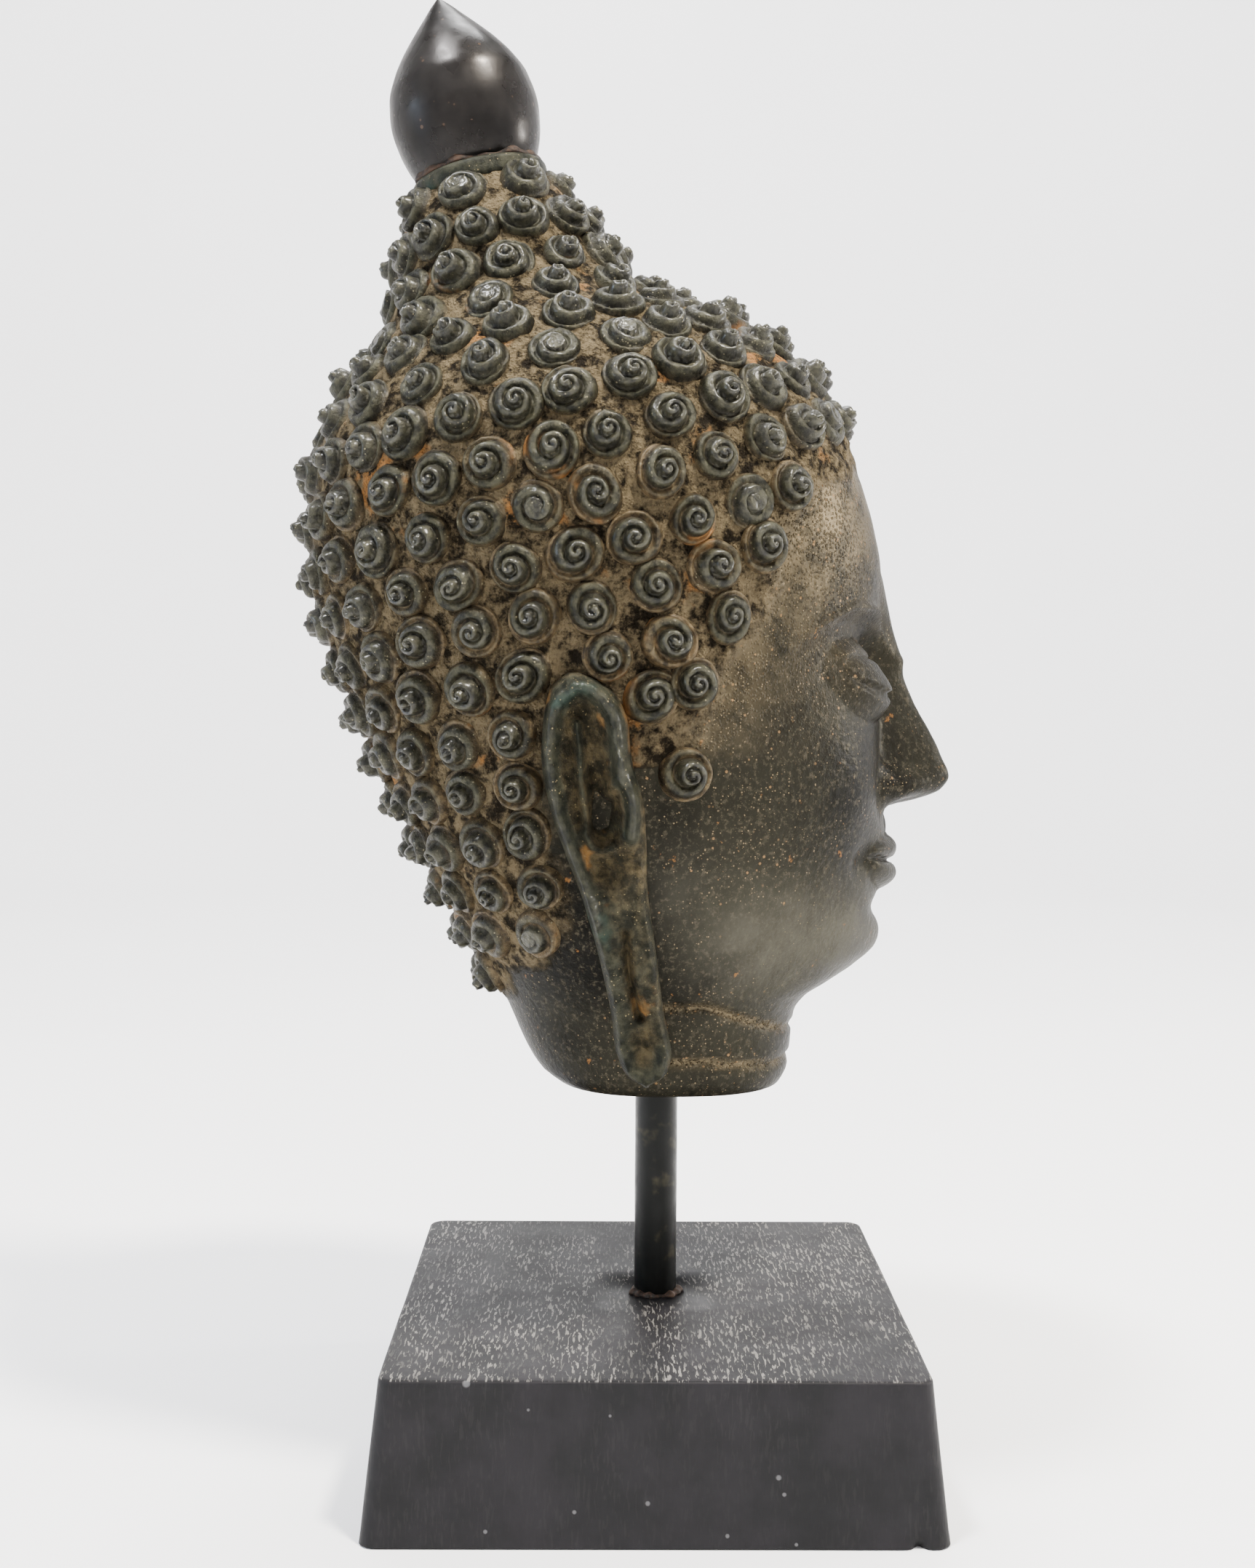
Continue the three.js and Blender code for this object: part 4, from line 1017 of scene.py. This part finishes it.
def ear_material():
    n = Nodes("ear_bronze")
    depth = n.attribute("ear")
    mottle = n.noise(220, 6, 0.7)
    low = n.mix(n.span(mottle, 0.4, 0.68), srgb(38, 36, 28), srgb(88, 78, 57))
    high = n.mix(n.span(mottle, 0.35, 0.65), srgb(17, 19, 15), srgb(48, 48, 38))
    colour = n.mix(n.span(depth, 0.3, 0.7), low, high)
    # Painted shade: the ear's deepest hollows and pits, below its base, darkened almost to black
    colour = n.mix(n.span(depth, -0.3, 0.0, 0.9, 0), colour, srgb(20, 16, 10))
    tan = n.times(n.span(n.noise(60, 4, 0.6), 0.54, 0.66), n.span(depth, 0.45, 0.7, 0.7, 0))
    colour = n.mix(tan, colour, srgb(140, 102, 56))
    colour = n.mix(n.span(n.noise(45, 3, 0.6), 0.6, 0.72, 0, 0.4), colour, srgb(54, 74, 66))
    colour = speckled(n, colour, 1500, srgb(118, 106, 78), n.span(n.noise(50, 3), 0.35, 0.65, 0.05, 0.35))
    pits = n.times(n.noise(420, 6, 0.75), n.span(depth, 0.35, 0.7, 3.5, 0.8))
    n.bump(pits, 0.9, 0.0006)
    return n.set(Base_Color=colour, Metallic=0.3, Roughness=0.5, Specular_IOR_Level=0.25,
                 Specular_Tint=(0.3, 0.3, 0.28, 1.0), Coat_Weight=n.span(depth, 0.75, 1.05, 0.0, 0.16),
                 Coat_Roughness=0.25)


def curl_material():
    n = Nodes("curl_bronze")
    lift, groove_shade, tone = n.attribute("lift"), n.attribute("groove_shade"), n.attribute("tone")
    cloud = n.noise(380, 5, 0.68)
    top = n.mix(n.span(cloud, 0.35, 0.65), srgb(13, 14, 10), srgb(56, 55, 42))
    earth = n.mix(n.span(cloud, 0.35, 0.65), srgb(48, 40, 28), srgb(104, 88, 63))
    foot = n.mix(n.span(cloud, 0.35, 0.65), srgb(22, 20, 15), srgb(66, 59, 44))
    low = n.mix(tone, foot, earth)
    line = n.plus(n.times(tone, 0.3), 0.12)
    share = n.span(n.math("SUBTRACT", lift, line), -0.12, 0.16)
    colour = n.mix(share, low, top)
    # Painted shade: the grooves between the coil's turns darkened almost to black
    colour = n.mix(n.times(groove_shade, 0.7), colour, srgb(12, 11, 8))
    colour = speckled(n, colour, 1400, srgb(108, 102, 80), n.span(n.noise(60, 3), 0.35, 0.65, 0.05, 0.3))
    rust = n.times(n.span(n.noise(40, 4, 0.6), 0.62, 0.7), n.span(lift, 0.1, 0.5, 0.6, 0))
    colour = n.mix(rust, colour, srgb(150, 104, 56))
    n.bump(n.plus(n.noise(1300, 4, 0.7), n.times(n.noise(320, 4, 0.65), 1.5)), 0.7, 0.0005)
    return n.set(Base_Color=colour, Metallic=0.4, Roughness=0.45, Specular_Tint=(0.4, 0.38, 0.34, 1.0),
                 Coat_Weight=n.span(lift, 0.3, 0.9, 0.03, 0.42), Coat_Roughness=0.24)


def polished_material():
    n = Nodes("polished_bronze")
    cloud = n.noise(45, 5, 0.6)
    colour = n.mix(n.span(cloud, 0.35, 0.65), srgb(15, 14, 14), srgb(30, 28, 27))
    colour = speckled(n, colour, 620, srgb(70, 56, 45), 0.12)
    n.bump(n.noise(500, 4, 0.6), 0.1, 0.0003)
    rough = n.span(n.noise(120, 4), 0.35, 0.65, 0.26, 0.4)
    return n.set(Base_Color=colour, Metallic=0.45, Roughness=rough, Specular_Tint=(0.4, 0.38, 0.36, 1.0))


def steel_material():
    n = Nodes("black_steel")
    worn = n.span(n.noise(60, 4, 0.6), 0.56, 0.68)
    colour = n.mix(n.times(worn, 0.6), srgb(14, 15, 14), srgb(62, 58, 42))
    n.bump(n.noise(700, 4, 0.6), 0.15, 0.0003)
    return n.set(Base_Color=colour, Metallic=0.2, Roughness=n.span(n.noise(200, 3), 0.3, 0.7, 0.28, 0.42),
                 Specular_IOR_Level=0.3, Specular_Tint=(0.4, 0.4, 0.4, 1.0))


# Small dents of the block's right side: place along Y, height and radius in millimetres
BLOCK_DENTS = [(-32.9, 19, 0.9), (-34.4, 14.6, 0.7), (2.1, 12.2, 0.8), (21.7, 9.9, 0.7),
               (-19.2, 3.8, 0.7), (-37.6, 1.6, 0.6), (45.4, 4.8, 0.7), (12.3, 35, 0.5),
               (34.2, 36.5, 0.5), (50.9, 43.4, 1.3)]


def block_dents(n):
    """A mask of the dents, strongest in their middles."""
    mask = 0.0
    for along, height, radius in BLOCK_DENTS:
        across = BASE_LEAN * height / 1000 - BASE_FOOT_WIDTH / 2
        node = n.node("VectorMath")
        node.operation = "DISTANCE"
        n.feed(node.inputs[0], n.place)
        n.feed(node.inputs[1], (across, along / 1000, height / 1000))
        dent = n.span(node.outputs["Value"], radius * 0.0005, radius * 0.001, 1, 0)
        mask = n.math("MAXIMUM", dent, mask)
    return mask


def wood_material():
    n = Nodes("black_wood")
    warp = n.noise(22, 3, 0.6, (1, 2.6, 1))
    pores = n.noise(1.0, 2, 0.5, (230, 1300, 230), 0.6)
    split = n.node("SeparateXYZ", Vector=n.node("NewGeometry").outputs["Normal"])
    level_face = n.span(split.outputs["Z"], 0.7, 0.95)
    streak = n.times(n.span(pores, 0.55, 0.62), n.span(warp, 0.4, 0.56, 0.2, 1))
    streak = n.times(streak, n.span(level_face, 0, 1, 0.02, 0.8))
    dark = n.mix(n.span(n.noise(40, 4, 0.6), 0.35, 0.65), srgb(25, 25, 26), srgb(31, 30, 32))
    brushed = n.span(n.noise(60, 6, 0.75, (1, 1, 3)), 0.45, 0.7, 0, 0.14)
    colour = n.mix(streak, n.mix(brushed, dark, srgb(36, 36, 38)), srgb(116, 113, 108))
    dents = block_dents(n)
    colour = n.mix(n.times(dents, 0.6), colour, srgb(98, 98, 100))
    fine = n.plus(pores, n.times(n.noise(300, 3), 0.5))
    n.bump(n.math("SUBTRACT", fine, n.times(dents, 4)), 0.25, 0.0004)
    rough = n.span(n.noise(70, 4), 0.35, 0.65, 0.46, 0.52)
    return n.set(Base_Color=colour, Roughness=rough, Specular_IOR_Level=0.07)


def filler_material():
    n = Nodes("dark_filler")
    colour = n.mix(n.span(n.noise(500, 4, 0.6), 0.35, 0.65), srgb(20, 16, 13), srgb(62, 46, 35))
    n.bump(n.noise(900, 4, 0.6), 0.4, 0.0005)
    return n.set(Base_Color=colour, Roughness=0.7, Specular_IOR_Level=0.2)


def stage_material():
    n = Nodes("pale_floor")
    tone = n.span(n.noise(2, 2), 0.3, 0.7)
    return n.set(Base_Color=n.mix(tone, (0.86, 0.86, 0.87, 1.0), (0.88, 0.88, 0.89, 1.0)), Roughness=0.9)


# Stage, light and camera

def make_stage():
    """A level floor that sweeps up into a round wall."""
    bend = np.linspace(0, math.pi / 2, 14)
    profile = [(1.6 + 0.8 * math.sin(a), 0.8 - 0.8 * math.cos(a)) for a in bend]
    profile = [(0.02, 0)] + profile + [(2.4, 3.0)]
    rings = turned_points(profile, 96)
    rows, columns = rings.shape[:2]
    faces = [grid_faces(rows, columns)[:, ::-1], cap_faces(0, columns, rows * columns, False)]
    points = np.concatenate([rings.reshape(-1, 3), [[0, 0, 0]]])
    add_object("sweep", smooth_mesh("sweep", points, faces, stage_material()))


def make_light(name, place, target, size, power, colour):
    light = bpy.data.lights.new(name, "AREA")
    light.shape = "DISK"
    light.size = size
    light.energy = power
    light.color = colour
    lamp = add_object(name, light)
    lamp.location = place
    lamp.rotation_mode = "QUATERNION"
    lamp.rotation_quaternion = (Vector(target) - Vector(place)).to_track_quat("-Z", "Y")


# Each light's name, place, target, size, power and colour
AIM = (0, 0, 0.25)
LIGHTS = [
    ("key", (-0.45, -0.5, 1.5), AIM, 0.2, 66, (1.0, 0.94, 0.84)),
    ("front", (0.25, -1.5, 0.5), AIM, 0.25, 18, (1.0, 0.96, 0.9)),
    ("top", (-0.25, 0.4, 1.5), AIM, 0.2, 34, (0.98, 0.98, 1.0)),
    ("rim", (-0.35, 1.3, 0.5), AIM, 0.3, 7, (0.62, 0.78, 1.0)),
    ("backdrop", (0.9, 0, 2.3), (2.2, 0, 0.4), 0.8, 85, (1.0, 1.0, 1.0)),
]
SKY_COLOUR = (0.96, 0.98, 1.0, 1.0)
SKY_STRENGTH = 0.24


def make_lights():
    for light in LIGHTS:
        make_light(*light)
    world = bpy.data.worlds.new("soft_sky")
    bpy.context.scene.world = world
    world.use_nodes = True
    sky = world.node_tree.nodes["Background"].inputs
    sky["Color"].default_value = SKY_COLOUR
    sky["Strength"].default_value = SKY_STRENGTH


# The camera, solved from the block's corners
CAMERA_PLACE = (-0.5471, 0.01306, 0.22586)
CAMERA_YAW = math.radians(-0.530)
CAMERA_DIP = math.radians(2.596)
CAMERA_ROLL = math.radians(0.360)
CAMERA_LENS = 41.08


def make_camera():
    forward = Vector((math.cos(CAMERA_DIP) * math.cos(CAMERA_YAW),
                      math.cos(CAMERA_DIP) * math.sin(CAMERA_YAW), -math.sin(CAMERA_DIP)))
    level = forward.cross(Vector((0, 0, 1))).normalized()
    upright = level.cross(forward)
    right = level * math.cos(CAMERA_ROLL) + upright * math.sin(CAMERA_ROLL)
    up = upright * math.cos(CAMERA_ROLL) - level * math.sin(CAMERA_ROLL)
    camera = bpy.data.cameras.new("camera")
    camera.lens = CAMERA_LENS
    camera.sensor_width = 36
    camera.clip_start = 0.01
    holder = add_object("camera", camera)
    holder.location = CAMERA_PLACE
    holder.rotation_mode = "QUATERNION"
    holder.rotation_quaternion = Matrix((right, up, -forward)).transposed().to_quaternion()
    bpy.context.scene.camera = holder


make_camera()
make_head(bronze_skin_material())
make_curls(curl_material())
ear_bronze = ear_material()
make_ear("ear_left", 1, ear_bronze)
make_ear("ear_right", -1, ear_bronze)
make_collar(ear_bronze)
make_finial(polished_material())
make_rod(steel_material())
make_fillers(filler_material())
make_block(wood_material())
make_stage()
make_lights()
